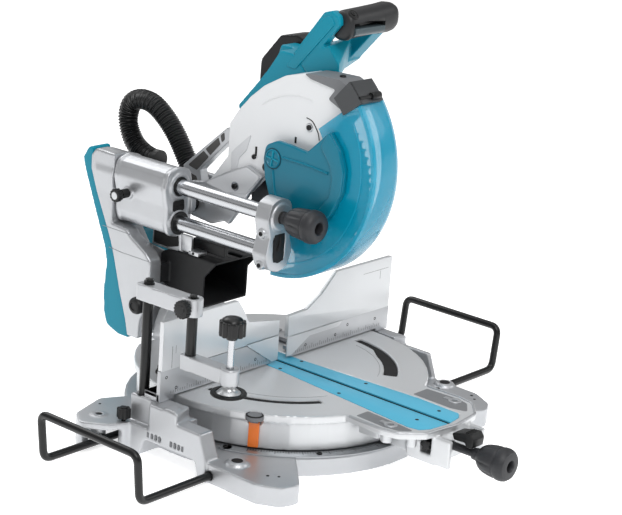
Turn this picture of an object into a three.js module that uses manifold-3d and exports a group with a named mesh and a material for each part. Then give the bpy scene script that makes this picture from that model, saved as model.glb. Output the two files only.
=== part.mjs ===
// Sliding compound mitre saw with a 260 mm blade, drawn with its head raised and pushed back.
// Millimetres, +Z up. X runs to the operator's right, Y away from the operator.
// Inside the group "saw" the mitre axis is x = 0, y = 0, the fence face is y = 0 and the table top is z = 0.
import * as THREE from "three";
import { mergeVertices } from "three/addons/utils/BufferGeometryUtils.js";
import Module from "manifold-3d";
const wasm = await Module();
wasm.setup();

// ---- driving dimensions ----
const TABLE_H = 91;            // table top above the bench
const Y_SHIFT = 29;            // puts the bounding box centre over y = 0
const BLADE_R = 130;           // 260 mm blade
const BLADE_T = 1.8;
const BLADE_C = [-24, 313];    // blade centre (y, z), head raised
const HEAD_PIVOT = [185, 232]; // head hinge (y, z)
const GUARD_PIVOT = [7, 340];  // guard hinge (y, z)
const GUARD_R = 189;
const MOTOR_AXIS = [88, 448]; // motor shaft (y, z)
const TABLE_R = 236;
const PIPE_X = -80, PIPE_R = 12.5, PIPE_TOP_Z = 265, PIPE_LOW_Z = 205;
const GRIP_Z = -33;
const WIRE_R = 6.1, WIRE_X = 437, WIRE_TOP_Z = -4.5, WIRE_LOW_Z = -79;
const VISE_POST = [-265, 45];
const VISE_ROD = [-262, -44];
const VISE_SCREW = [-261, -123];
const GAP = 0.3;

// ---- geometry helpers: three.js geometry in, solid out ----
function solid(g) {
  g.deleteAttribute("normal");
  g.deleteAttribute("uv");
  g = mergeVertices(g, 1e-4);
  const p = g.attributes.position.array, src = g.index.array, idx = [];
  for (let i = 0; i < src.length; i += 3) {
    const a = src[i], b = src[i + 1], c = src[i + 2];
    if (a !== b && b !== c && a !== c) idx.push(a, b, c);
  }
  let vol = 0;
  for (let i = 0; i < idx.length; i += 3) {
    const [a, b, c] = [idx[i] * 3, idx[i + 1] * 3, idx[i + 2] * 3];
    vol += p[a] * (p[b + 1] * p[c + 2] - p[b + 2] * p[c + 1])
         - p[a + 1] * (p[b] * p[c + 2] - p[b + 2] * p[c])
         + p[a + 2] * (p[b] * p[c + 1] - p[b + 1] * p[c]);
  }
  if (vol < 0) for (let i = 0; i < idx.length; i += 3) [idx[i + 1], idx[i + 2]] = [idx[i + 2], idx[i + 1]];
  return new wasm.Manifold(new wasm.Mesh({ numProp: 3, vertProperties: Float32Array.from(p), triVerts: Uint32Array.from(idx) }));
}
const join = (first, ...rest) => rest.reduce((a, b) => a.add(b), first);
const cut = (first, ...rest) => rest.reduce((a, b) => a.subtract(b), first);
const mirrorX = (m) => m.mirror([1, 0, 0]);
const hull = (pts) => wasm.Manifold.hull(pts);
function box(x0, x1, y0, y1, z0, z1) {
  const g = new THREE.BoxGeometry(x1 - x0, y1 - y0, z1 - z0);
  g.translate((x0 + x1) / 2, (y0 + y1) / 2, (z0 + z1) / 2);
  return solid(g);
}
// cylinder or cone from point a to point b
function rod(a, b, r, seg = 16, rb = r) {
  const A = new THREE.Vector3(...a), B = new THREE.Vector3(...b);
  const d = B.clone().sub(A), L = d.length();
  const g = new THREE.CylinderGeometry(rb, r, L, seg);
  g.translate(0, L / 2, 0);
  g.applyQuaternion(new THREE.Quaternion().setFromUnitVectors(new THREE.Vector3(0, 1, 0), d.normalize()));
  g.translate(...a);
  return solid(g);
}
// body of revolution: profile [[r, h], ...] about the line through o along unit vector dir
function turned(profile, o, dir, seg = 24) {
  const pts = profile.map(([r, h]) => new THREE.Vector2(r, h));
  const g = new THREE.LatheGeometry(pts, seg);
  g.applyQuaternion(new THREE.Quaternion().setFromUnitVectors(new THREE.Vector3(0, 1, 0), new THREE.Vector3(...dir)));
  g.translate(...o);
  return solid(g);
}
// corners with fillets; each point is [u, v] or [u, v, radius]
function outline(points, n = 3) {
  const out = [], N = points.length;
  for (let i = 0; i < N; i++) {
    const [u, v, r] = points[i];
    if (!r) { out.push([u, v]); continue; }
    const P = new THREE.Vector2(u, v), A = new THREE.Vector2(...points[(i + N - 1) % N].slice(0, 2)), B = new THREE.Vector2(...points[(i + 1) % N].slice(0, 2));
    const da = A.clone().sub(P), db = B.clone().sub(P);
    const half = Math.acos(Math.max(-1, Math.min(1, da.clone().normalize().dot(db.clone().normalize())))) / 2;
    const t = Math.min(r / Math.tan(half), da.length() * 0.49, db.length() * 0.49);
    const S = P.clone().add(da.normalize().multiplyScalar(t)), E = P.clone().add(db.normalize().multiplyScalar(t));
    const c = new THREE.QuadraticBezierCurve(S, P, E);
    for (let k = 0; k <= n; k++) { const q = c.getPoint(k / n); out.push([q.x, q.y]); }
  }
  return out;
}
function ring(cu, cv, r, n = 48, phase = 0) {
  const a = [];
  for (let i = 0; i < n; i++) a.push([cu + r * Math.cos(phase + 2 * Math.PI * i / n), cv + r * Math.sin(phase + 2 * Math.PI * i / n)]);
  return a;
}
function arc(cu, cv, r, d0, d1, n) {
  const a = [];
  for (let i = 0; i <= n; i++) { const t = (d0 + (d1 - d0) * i / n) * Math.PI / 180; a.push([cu + r * Math.cos(t), cv + r * Math.sin(t)]); }
  return a;
}
// polygon pushed along an axis. axis x: points are (y, z); y: (x, z); z: (x, y)
function prism(axis, points, a, b, holes = []) {
  const shape = new THREE.Shape(points.map(([u, v]) => new THREE.Vector2(u, v)));
  for (const h of holes) shape.holes.push(new THREE.Path(h.map(([u, v]) => new THREE.Vector2(u, v))));
  const g = new THREE.ExtrudeGeometry(shape, { depth: b - a, bevelEnabled: false, steps: 1 });
  const m = new THREE.Matrix4();
  if (axis === "x") { g.translate(0, 0, a); m.set(0, 0, 1, 0, 1, 0, 0, 0, 0, 1, 0, 0, 0, 0, 0, 1); }
  else if (axis === "y") { g.translate(0, 0, -b); m.set(1, 0, 0, 0, 0, 0, -1, 0, 0, 1, 0, 0, 0, 0, 0, 1); }
  else g.translate(0, 0, a);
  if (axis !== "z") g.applyMatrix4(m);
  return solid(g);
}
// path through listed points, one cross-section at each
class Through extends THREE.Curve {
  constructor(points) { super(); this.points = points.map((p) => new THREE.Vector3(...p)); }
  getPoint(t) {
    const n = this.points.length - 1, k = Math.min(n - 1, Math.floor(t * n + 1e-9));
    return this.points[k].clone().lerp(this.points[k + 1], t * n - k);
  }
  getPointAt(u) { return this.getPoint(u); }
  getTangentAt(u) {
    const n = this.points.length - 1, k = Math.round(u * n), P = this.points;
    const a = k > 0 ? P[k].clone().sub(P[k - 1]).normalize() : null, b = k < n ? P[k + 1].clone().sub(P[k]).normalize() : null;
    return (a && b ? a.add(b) : a || b).normalize();
  }
}
function swept(points, r, seg) {
  const path = new Through(points);
  return solid(new THREE.ExtrudeGeometry(new THREE.Shape(ring(0, 0, r, seg).map(([u, v]) => new THREE.Vector2(u, v))), { steps: points.length - 1, extrudePath: path, bevelEnabled: false }));
}
// round bar along straight runs with filleted corners
function bar(points, r, fillet, seg = 8) {
  const P = points.map((p) => new THREE.Vector3(...p)), out = [P[0].toArray()];
  for (let i = 1; i < P.length - 1; i++) {
    const s = P[i].clone().add(P[i - 1].clone().sub(P[i]).setLength(fillet));
    const e = P[i].clone().add(P[i + 1].clone().sub(P[i]).setLength(fillet));
    const c = new THREE.QuadraticBezierCurve3(s, P[i], e);
    for (let k = 0; k <= 3; k++) out.push(c.getPoint(k / 3).toArray());
  }
  out.push(P[P.length - 1].toArray());
  return swept(out, r, seg);
}
function hose(points, r, steps, seg = 10) {
  const c = new THREE.CatmullRomCurve3(points.map((p) => new THREE.Vector3(...p)), false, "centripetal");
  return swept(c.getSpacedPoints(steps).map((p) => p.toArray()), r, seg);
}
// fluted knob outline
function lobes(cu, cv, r, depth, n, per = 4) {
  const a = [];
  for (let i = 0; i < n * per; i++) {
    const t = 2 * Math.PI * i / (n * per);
    const q = r - depth * (0.5 - 0.5 * Math.cos(n * t));
    a.push([cu + q * Math.cos(t), cv + q * Math.sin(t)]);
  }
  return a;
}

// ---- scene graph ----
const root = new THREE.Group();
const origins = new Map([[root, new THREE.Vector3(0, 0, 0)]]);
function group(parent, x, y, z) { // x, y, z in saw coordinates
  const g = new THREE.Group(), o = new THREE.Vector3(x, y, z);
  g.position.copy(o).sub(origins.get(parent));
  origins.set(g, o);
  parent.add(g);
  return g;
}
function add(parent, name, m, colour, roughness, metalness, extra = {}) {
  const mesh = m.getMesh();
  const g = new THREE.BufferGeometry();
  const p = Float32Array.from(mesh.vertProperties), o = origins.get(parent);
  for (let i = 0; i < p.length; i += 3) { p[i] -= o.x; p[i + 1] -= o.y; p[i + 2] -= o.z; }
  g.setAttribute("position", new THREE.BufferAttribute(p, 3));
  g.setIndex(Array.from(mesh.triVerts));
  g.computeVertexNormals();
  const part = new THREE.Mesh(g, new THREE.MeshStandardMaterial({ color: colour, roughness, metalness, ...extra }));
  part.name = name;
  parent.add(part);
  return part;
}
const CAST = [0xc9ccce, 0.45, 0.7], CHROME = [0xdfe3e6, 0.12, 1], STEEL = [0xb9bcc0, 0.3, 0.9];
const TEAL = [0x0a7f90, 0.4, 0], BLACK = [0x17181a, 0.55, 0], DARK = [0x2c2e31, 0.6, 0], GREY = [0x6f7174, 0.5, 0.2], WHITE = [0xeceded, 0.35, 0];

const saw = group(root, 0, 0, 0);

// ================= base =================
{
  // round pan: hub, floor plate and outer wall
  let base = turned([[11, -84], [60, -84], [60, -70], [241, -70], [241, -91], [249, -91], [249, -61], [11, -61], [11, -84]], [0, 0, 0], [0, 0, 1], 48);
  const wingProfile = [[62, -45], [62, -19], [-97, -19], [-112, -58], [-114, -91], [-97, -91], [-88, -63, 6], [16, -63, 8], [26, -91], [62, -91]];
  const clearTable = rod([0, 0, -61], [0, 0, 30], 250.6, 48);
  const half = (s) => {
    let w = prism("x", outline(wingProfile, 2), s < 0 ? -290 : -272, -205);
    w = cut(w, box(-262, -200, -120, -50, -62, 0));
    // upper step that carries the fence
    w = join(w, prism("z", s < 0 ? [[-276.5, 62], [-276.5, 18], [-290, 8], [-290, -50], [-243, -34], [-214, -34], [-214, 62]] : [[-276.5, 62], [-276.5, 18], [-272, 8], [-272, -44], [-243, -34], [-214, -34], [-214, 62]], -24, -4));
    if (s < 0) w = join(w, prism("z", [[-288, -46], [-268, -36], [-268, -22], [-288, -22]], -6, -0.5));
    // rear foot
    const rear = outline([[-214, 44], [-286, 44], [-322, 62, 10], [-348, 98, 12], [-326, 128, 14], [-256, 150, 12], [-205, 124, 6]], 2);
    w = join(w, prism("z", rear, -91, -45));
    w = cut(w, prism("z", outline([[-222, 66], [-288, 66], [-318, 74, 8], [-336, 98, 8], [-320, 119, 8], [-256, 140, 8], [-222, 118, 6]], 2), -95, -53));
    w = cut(w, prism("z", [[-360, 40], [-360, 91], [-269, 91], [-269, 62.5], [-300, 62.5], [-300, 40]], -95, -56));
    // front foot
    const front = s < 0 ? outline([[-214, -60], [-286, -104], [-288, -210, 14], [-270, -243, 14], [-240, -253, 12], [-208, -222, 10], [-158, -172]], 2)
      : outline([[-214, -60], [-270, -100], [-268, -200, 14], [-246, -240, 14], [-222, -254, 12], [-186, -234, 10], [-140, -180]], 2);
    w = join(w, prism("z", front, -91, -60));
    w = cut(w, prism("z", outline([[-224, -122], [-260, -122], [-260, -200, 8], [-246, -228, 8], [-228, -238, 8], [-204, -220, 6], [-190, -170]], 2), -95, -67));
    w = join(w, rod([-255, -143, -91], [-255, -143, -57], 14, 14));
    w = join(w, rod([-304, 100, -91], [-304, 100, -44], 12, 14));
    w = cut(w, clearTable, prism("z", [[-310, 70], [-310, -6], [-290, 8], [-276.5, 18], [-276.5, 70]], -45, 5).subtract(box(-330, -250, -10, 8, -60, 10)));
    w = cut(w, rod([-255, -143, -99], [-255, -143, -40], 4.5, 12), rod([-304, 100, -99], [-304, 100, -40], 4.5, 12));
    return w;
  };
  base = join(base, half(-1), mirrorX(half(1)));
  // channels for the work-support rods, lock-screw holes, post socket
  for (const s of [-1, 1]) for (const y of [-117, 84]) base = cut(base, rod([s * 370, y, WIRE_LOW_Z], [s * (y < 0 ? 150 : 205), y, WIRE_LOW_Z], WIRE_R + 0.7, 10));
  for (const s of [-1, 1]) base = cut(base, rod([s * 291, 60, -72], [s * 291, 60, -30], 3.6, 10));
  for (const s of [-1, 1]) base = cut(base, rod([s * 265, 45, -30], [s * 265, 45, 5], 8.7, 16));
  // row of small slots under the arch edge
  for (const s of [-1, 1]) for (const y of [8, 0, -8, -16, -40, -48, -56, -64]) base = cut(base, box(s * (s < 0 ? 288.5 : 270.5) - 3, s * (s < 0 ? 288.5 : 270.5) + 3, y - 2, y + 2, -57, -49));
  // small holes in the feet
  for (const s of [-1, 1]) base = cut(base, rod([s * 242, -206, -95], [s * 242, -206, -50], 2.2, 6));
  add(saw, "base_casting", base, ...CAST);

  const scale = prism("z", [...arc(0, 0, 250, -158, -22, 34), ...arc(0, 0, 232, -22, -158, 34)], -60.7, -58.4);
  add(saw, "mitre_scale_plate", scale, 0xb4b7ba, 0.35, 0.8);

  // centre bolt of the table
  add(saw, "table_centre_bolt", turned([[0, -87], [18, -87], [18, -84.3], [10, -84.3], [10, -20], [0, -20], [0, -87]], [0, 0, 0], [0, 0, 1], 18), ...STEEL);

  // fence
  const lowL = [[-275, -3.7], [-243.5, -3.7], [-243.5, 2], [-24, 2], [-24, 4.5], [-84, 43.5], [-275, 45.5]];
  const lowR = [[275, -3.7], [243.5, -3.7], [243.5, 2], [22, 2], [22, 4.5], [66, 28.5], [141, 28.5], [148, 36.5], [275, 36.5]];
  let fence = join(prism("y", lowL, 2.3, 9), prism("y", lowR, 2.3, 9));
  for (const s of [-1, 1]) {
    const [a, b] = s < 0 ? [-275, -40] : [40, 275];
    fence = join(fence, box(a, b, 8, 34, 2, 9));
    fence = join(fence, s < 0 ? box(-275, -243.5, 2.3, 34, -3.7, 9) : box(243.5, 275, 2.3, 34, -3.7, 9));
    fence = join(fence, s < 0 ? box(-94, -68, 30, 95, 2, 9) : box(68, 94, 30, 95, 2, 9));
    fence = join(fence, s < 0 ? box(-245, -219, 19, 25, 5, 42) : box(219, 245, 19, 25, 5, 42));
    fence = cut(fence, rod([s * 232, 12, 27], [s * 232, 32, 27], 4.6, 12));
  }
  fence = join(fence, box(-94, 94, 82, 95, 2, 12));
  add(saw, "guide_fence", fence, ...CAST);
}

// sub-fences slide on the fixed fence
{
  const L = join(prism("y", [[-275, 46.2], [-11, 46.2], [-11, 72], [-85, 85], [-99, 108], [-112, 125], [-275, 125]], 0, 8),
    prism("y", [[-86, 47], [-84.3, 44.2], [-24.5, 5.4], [-11, 5.4], [-11, 47]], 0, 2));
  const gl = group(saw, -275, 0, 0);
  add(gl, "sub_fence_left", join(L, box(-262, -120, 7, 16, 74, 84), box(-236, -120, 9.6, 16, 22, 84)), ...CAST);
  const R = join(prism("y", [[11, 37.4], [271, 37.4], [271, 126.5], [125, 127], [91, 96], [55, 76], [11, 74]], 0, 8),
    prism("y", [[11, 38], [11, 5.4], [22.5, 5.4], [66, 29.4], [140.6, 29.4], [147.6, 38]], 0, 2));
  const gr = group(saw, 275, 0, 0);
  add(gr, "sub_fence_right", join(R, box(120, 262, 7, 16, 74, 84), box(120, 236, 9.6, 16, 22, 84)), ...CAST);
  for (const [s, name] of [[-1, "left"], [1, "right"]]) {
    const g = group(saw, s * 232, 40, 27);
    add(g, "fence_lock_screw_" + name, join(rod([s * 232, 16.6, 27], [s * 232, 32, 27], 4, 12), prism("y", lobes(s * 232, 27, 12.5, 2.2, 6), 30, 44)), ...BLACK);
  }
}

// work supports and their lock screws
for (const [s, name] of [[-1, "left"], [1, "right"]]) {
  const g = group(saw, s * WIRE_X, 0, WIRE_LOW_Z);
  add(g, "work_support_" + name, bar([[s * 236, -117, WIRE_LOW_Z], [s * 429, -117, WIRE_LOW_Z], [s * WIRE_X, -117, WIRE_TOP_Z], [s * WIRE_X, 84, WIRE_TOP_Z], [s * 429, 84, WIRE_LOW_Z], [s * 236, 84, WIRE_LOW_Z]], WIRE_R, 16, 8), ...BLACK);
  const k = group(saw, s * 291, 60, -40);
  add(k, "support_lock_screw_" + name, join(rod([s * 291, 60, -71], [s * 291, 60, -38], 3.2, 10), prism("z", lobes(s * 291, 60, 11, 2, 6), -41, -24)), ...BLACK);
}

// ================= turntable =================
const table = group(saw, 0, 0, 0);
const boardL = [[-4, 58], [-30, 58], [-30, -8], [-61, -305], [-57, -322], [-42, -331], [-4, -335.5]];
const boardR = [[4, 58], [4, -335.5], [30, -331], [43, -322], [46, -245], [31, -12], [31, 58]];
{
  let t = turned([[0, 0], [0, -16], [11, -16], [11, -59], [40, -59], [40, -15], [222, -15], [222, -57], [230, -57], [230, -13], [TABLE_R, -13], [TABLE_R, -1], [TABLE_R - 1, 0], [0, 0]], [0, 0, 0], [0, 0, 1], 48);
  // arm plate towards the operator
  const plate = outline([[98, -190], [98, -214], [101, -283, 20], [95, -312, 18], [62, -341, 16], [0, -349, 40], [-62, -341, 16], [-95, -312, 18], [-101, -283, 20], [-98, -214], [-98, -190]], 3);
  t = join(t, prism("z", plate, -10, 0));
  // keel of the arm
  t = join(t, prism("z", [[-30, -215], [-30, -282], [-45, -294], [-45, -346], [45, -346], [45, -294], [30, -282], [30, -215]], -54, -8));
  t = join(t, rod([-68, -272, -33], [-68, -272, -5], 9, 12), rod([68, -272, -33], [68, -272, -5], 9, 12));
  // cheeks around the grip
  t = join(t, box(-45, -37, -372, -340, -52, -9), box(37, 45, -372, -340, -52, -9));
  // rear bracket with the bevel bearing
  t = join(t, prism("y", [[-84, -15], [-84, -40], [-60, -57], [60, -57], [84, -40], [84, -15]], 150, 214));
  t = join(t, prism("y", [...arc(0, 0, 80, -28, 208, 16)], 195, 214));
  t = join(t, rod([0, 205, 0], [0, 214, 0], 42, 24));
  t = cut(t, box(-93, 93, 214.2, 260, -91, 5), box(-130, -84, 201, 260, -91, 5), box(84, 130, 201, 260, -91, 5));
  // seat of the kerf boards and the blade channel
  const seat = [[-30.6, 59], [-30.6, -8], [-61.6, -305], [-57.5, -323], [-42.5, -331.8], [0, -336.5], [30.5, -331.8], [43.6, -322.5], [46.6, -245], [31.6, -12], [31.6, 59]];
  t = cut(t, prism("z", seat, -3.3, 2));
  t = cut(t, box(-13, 13, -330, 64, -48, 2));
  // curved openings beside the boards
  t = cut(t, prism("z", [...arc(0, 0, 183, 182, 241.5, 15), ...arc(0, 0, 170, 241.5, 182, 15)], -30, 5));
  t = cut(t, prism("z", [...arc(0, 0, 187, -3, -60, 14), ...arc(0, 0, 165, -60, -30, 6), ...arc(0, 0, 173, -20, -3, 4)], -30, 5));
  // notch with the stop tab, grip bearing, knob pocket, pivot hole, plate holes
  t = cut(t, rod([-201, -124, -20], [-201, -124, 3], 13, 16));
  t = cut(t, rod([0, -400, GRIP_Z], [0, -300, GRIP_Z], 7.2, 14));
  t = cut(t, box(-47, -24, -338, -318, -40, -12));
  t = cut(t, rod([0, 190, 0], [0, 216, 0], 13, 16));
  for (const [x, y] of [[-76, -284], [80, -287]]) t = cut(t, rod([x, y, -20], [x, y, 3], 5, 12));
  add(table, "turntable_casting", t, ...CAST);
  add(table, "kerf_board_left", prism("z", boardL, -3, -0.3), 0x6cc3dc, 0.4, 0);
  add(table, "kerf_board_right", prism("z", boardR, -3, -0.3), 0x6cc3dc, 0.4, 0);
  // orange stop tab hanging on the skirt, tip over the scale
  const ang = Math.atan2(-124, -201) * 180 / Math.PI; // direction of the tab from the mitre axis
  const tab = prism("y", [[-8, -54], [8, -54], [8, -14], [-8, -14]], -236.5, -230.4).rotate([0, 0, ang + 90]);
  add(table, "mitre_stop_tab", tab, 0xe8792a, 0.45, 0);
  add(table, "bevel_pivot_shaft", join(rod([0, 192, 0], [0, 262, 0], 12.4, 16), rod([0, 259, 0], [0, 265, 0], 19, 6)), ...STEEL);
  // pointer over the mitre scale
  add(table, "mitre_pointer", box(-8, 8, -250, -231, -57.8, -56.4), ...BLACK);

  const g = group(table, 0, -400, GRIP_Z);
  add(g, "mitre_grip", join(rod([0, -395, GRIP_Z], [0, -306, GRIP_Z], 6.4, 14),
    turned([[0, 0], [9, 0], [9, 9], [15, 13], [21, 20], [23.5, 30], [24.5, 44], [25.5, 48], [25.5, 56], [21, 65], [15, 66], [7.5, 66], [7.5, 50], [0, 50], [0, 0]], [0, -386, GRIP_Z], [0, -1, 0], 18)), ...DARK);
  const lv = group(table, 0, -362, -12);
  add(lv, "mitre_release_lever", join(prism("x", outline([[-372, -2, 3], [-386, 0, 4], [-392, -8, 4], [-390, -22], [-380, -22], [-376, -16], [-356, -17], [-352, -7]], 2), -14, 14)), ...BLACK);
  const k = group(table, -30, -328, -25);
  add(k, "mitre_stop_knob", prism("x", lobes(-328, -26, 10, 2.6, 5), -46, -28), ...BLACK);
}

// ================= bevel arm =================
const arm = group(table, 0, 240, 0);
{
  const flange = outline([[246, 0], [218, 0, 4], [215.4, 34], [202, 62, 12], [196, 90, 12], [197, 136, 10], [208, 148], [244, 168], [256, 178, 6], [289.3, 181], [289.3, 296], [332, 297, 8], [343, 284], [343, 262], [328, 227], [291, 151], [281, 123], [266, 72], [250, 28]], 2);
  let a = prism("x", flange, -110, -84);
  // pipe head
  const head = outline([[-110, 182, 12], [-110, 230], [-112, 262], [-108, 286, 12], [-80, 297, 18], [-52, 286, 12], [-50, 262], [-56, 182, 12]], 2);
  a = join(a, prism("y", head, 289.3, 330));
  // web down to the bevel bearing
  const web = [[-110, 150], [-86, 160], [-50, 140], [-18, 104], [36, 82], [70, 42], [72, 10], [43, -6], [31, -30], [0, -42], [-31, -30], [-43, -6], [-86, 4], [-110, 14]];
  a = join(a, prism("y", outline(web.map(([u, v], i) => [u, v, i > 1 && i < 6 ? 10 : 0]), 2), 222, 256));
  a = join(a, rod([0, 215.2, 0], [0, 225, 0], 42, 24));
  // rib behind the flange
  a = join(a, prism("y", [[-90, 150], [-90, 215], [-60, 235], [-52, 200], [-60, 160]], 289.3, 308));
  a = join(a, prism("x", [[256, 120], [290, 130], [308, 178], [300, 200], [289.3, 200], [289.3, 178.5], [268, 176], [240, 140], [240, 118]], -90, -60));
  a = cut(a, prism("x", [[243.2, 0], [250.2, 28], [266.2, 72], [281.2, 123], [291.2, 151], [328.2, 227], [342.2, 262], [342.2, 320], [420, 320], [420, -60], [243.2, -60]], -130, 60));
  a = cut(a, rod([0, 210, 0], [0, 300, 0], 12.9, 16), rod([0, 258.6, 0], [0, 300, 0], 20, 16));
  a = cut(a, rod([PIPE_X, 280, PIPE_TOP_Z], [PIPE_X, 314, PIPE_TOP_Z], PIPE_R + GAP, 24), rod([PIPE_X, 280, PIPE_LOW_Z], [PIPE_X, 314, PIPE_LOW_Z], PIPE_R + GAP, 24));
  a = cut(a, rod([PIPE_X, 280, PIPE_TOP_Z], [PIPE_X, 345, PIPE_TOP_Z], 6, 16));
  a = cut(a, rod([-92, 212, 62], [-116, 212, 62], 6, 12));
  add(arm, "bevel_arm", a, ...CAST);

  const cover = outline([[243.6, 0], [250.6, 28], [266.6, 72], [281.6, 123], [291.6, 151], [328.6, 227], [342.6, 262], [342.6, 299, 4], [354, 294, 8], [366, 275, 8], [359, 254], [329, 184, 20], [308, 138, 14], [302, 111, 14], [306, 61, 14], [304, 27, 10], [296, 4, 12], [268, -6, 10], [243.6, -6]], 2);
  let c = prism("x", cover, -106, 30);
  c = cut(c, prism("x", [[341, 301], [380, 310], [390, 230], [331, 240]], -66, 40), prism("x", [[249, 6], [256, 28], [272, 72], [287, 123], [297, 151], [334, 227], [347, 258], [354, 258], [352, 252], [323, 186], [302, 140], [296, 111], [300, 61], [298, 27], [291, 8], [268, 0], [249, 0]], -100, 24), rod([0, 230, 0], [0, 290, 0], 22, 20));
  add(arm, "arm_rear_cover", c, ...TEAL);

  for (const [name, z] of [["upper_slide_pipe", PIPE_TOP_Z], ["lower_slide_pipe", PIPE_LOW_Z]])
    add(arm, name, cut(rod([PIPE_X, -42, z], [PIPE_X, 310, z], PIPE_R, 24), rod([PIPE_X, -60, z], [PIPE_X, 360, z], 9.5, 16)), ...CHROME);

  // clamp that ties the pipe ends
  const end = outline([[-109, 262, 14], [-102, 288, 14], [-80, 296, 16], [-58, 288, 14], [-51, 262, 14], [-57, 240, 8], [-55, 226], [-50, 206, 14], [-58, 184, 14], [-80, 177, 16], [-102, 184, 14], [-110, 206, 14], [-103, 236, 8]], 2);
  let e = prism("y", end, -46, -18);
  e = cut(e, rod([PIPE_X, -42.5, PIPE_TOP_Z], [PIPE_X, -10, PIPE_TOP_Z], PIPE_R + GAP, 24), rod([PIPE_X, -42.5, PIPE_LOW_Z], [PIPE_X, -10, PIPE_LOW_Z], PIPE_R + GAP, 24));
  e = cut(e, rod([PIPE_X, -50, PIPE_TOP_Z], [PIPE_X, -30, PIPE_TOP_Z], 8, 16), rod([PIPE_X, -50, PIPE_LOW_Z], [PIPE_X, -30, PIPE_LOW_Z], 8, 16));
  e = cut(e, prism("y", outline([[-92, 196, 6], [-68, 196, 6], [-66, 236, 6], [-94, 236, 6]], 2), -47, -38));
  e = cut(e, rod([-118, -32, 240], [-98, -32, 240], 3.4, 10), rod([-118, -32, 190], [-98, -32, 190], 3.4, 10));
  add(arm, "pipe_end_clamp", e, ...CAST);

  const kn = group(arm, PIPE_X, -80, PIPE_TOP_Z);
  add(kn, "bevel_lock_knob", join(rod([PIPE_X, -60, PIPE_TOP_Z], [PIPE_X, 336, PIPE_TOP_Z], 5, 12),
    turned([[0, 0], [10, 0], [10, 8], [17, 12], [21, 20], [23.5, 30], [24.5, 46], [26, 50], [26, 59], [21, 69], [16, 70], [9, 70], [9, 55], [0, 55], [0, 0]], [PIPE_X, -53, PIPE_TOP_Z], [0, -1, 0], 20)), ...DARK);
  const st = group(arm, -110, 212, 62);
  add(st, "bevel_stop_knob", join(rod([-94, 212, 62], [-114, 212, 62], 5.4, 12), turned([[0, 0], [12, 0], [13.5, 4], [13.5, 12], [11, 17], [0, 18], [0, 0]], [-111, 212, 62], [-1, 0, 0], 16)), ...BLACK);

  // dust chute behind the blade
  let ch = prism("x", outline([[97, 151], [124, 122], [124, 68, 4], [190, 82], [221.4, 92, 6], [221.4, 140, 8], [200, 151, 6]], 2), -62, 44);
  ch = cut(ch, prism("x", [[90, 148], [90, 116], [120.5, 122], [120.5, 71], [189, 85], [218, 94], [218, 138], [198, 148]], -58.5, 40.5));
  ch = cut(ch, box(-6, 6, 80, 132, 140, 170));
  ch = join(ch, prism("y", outline([[-83.5, 100, 4], [-83.5, 124, 4], [-60, 124], [-60, 100]], 2), 199, 221.7), box(-83.5, -60, 199, 203, 96, 128));
  add(arm, "dust_chute", ch, ...BLACK);
}

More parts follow.
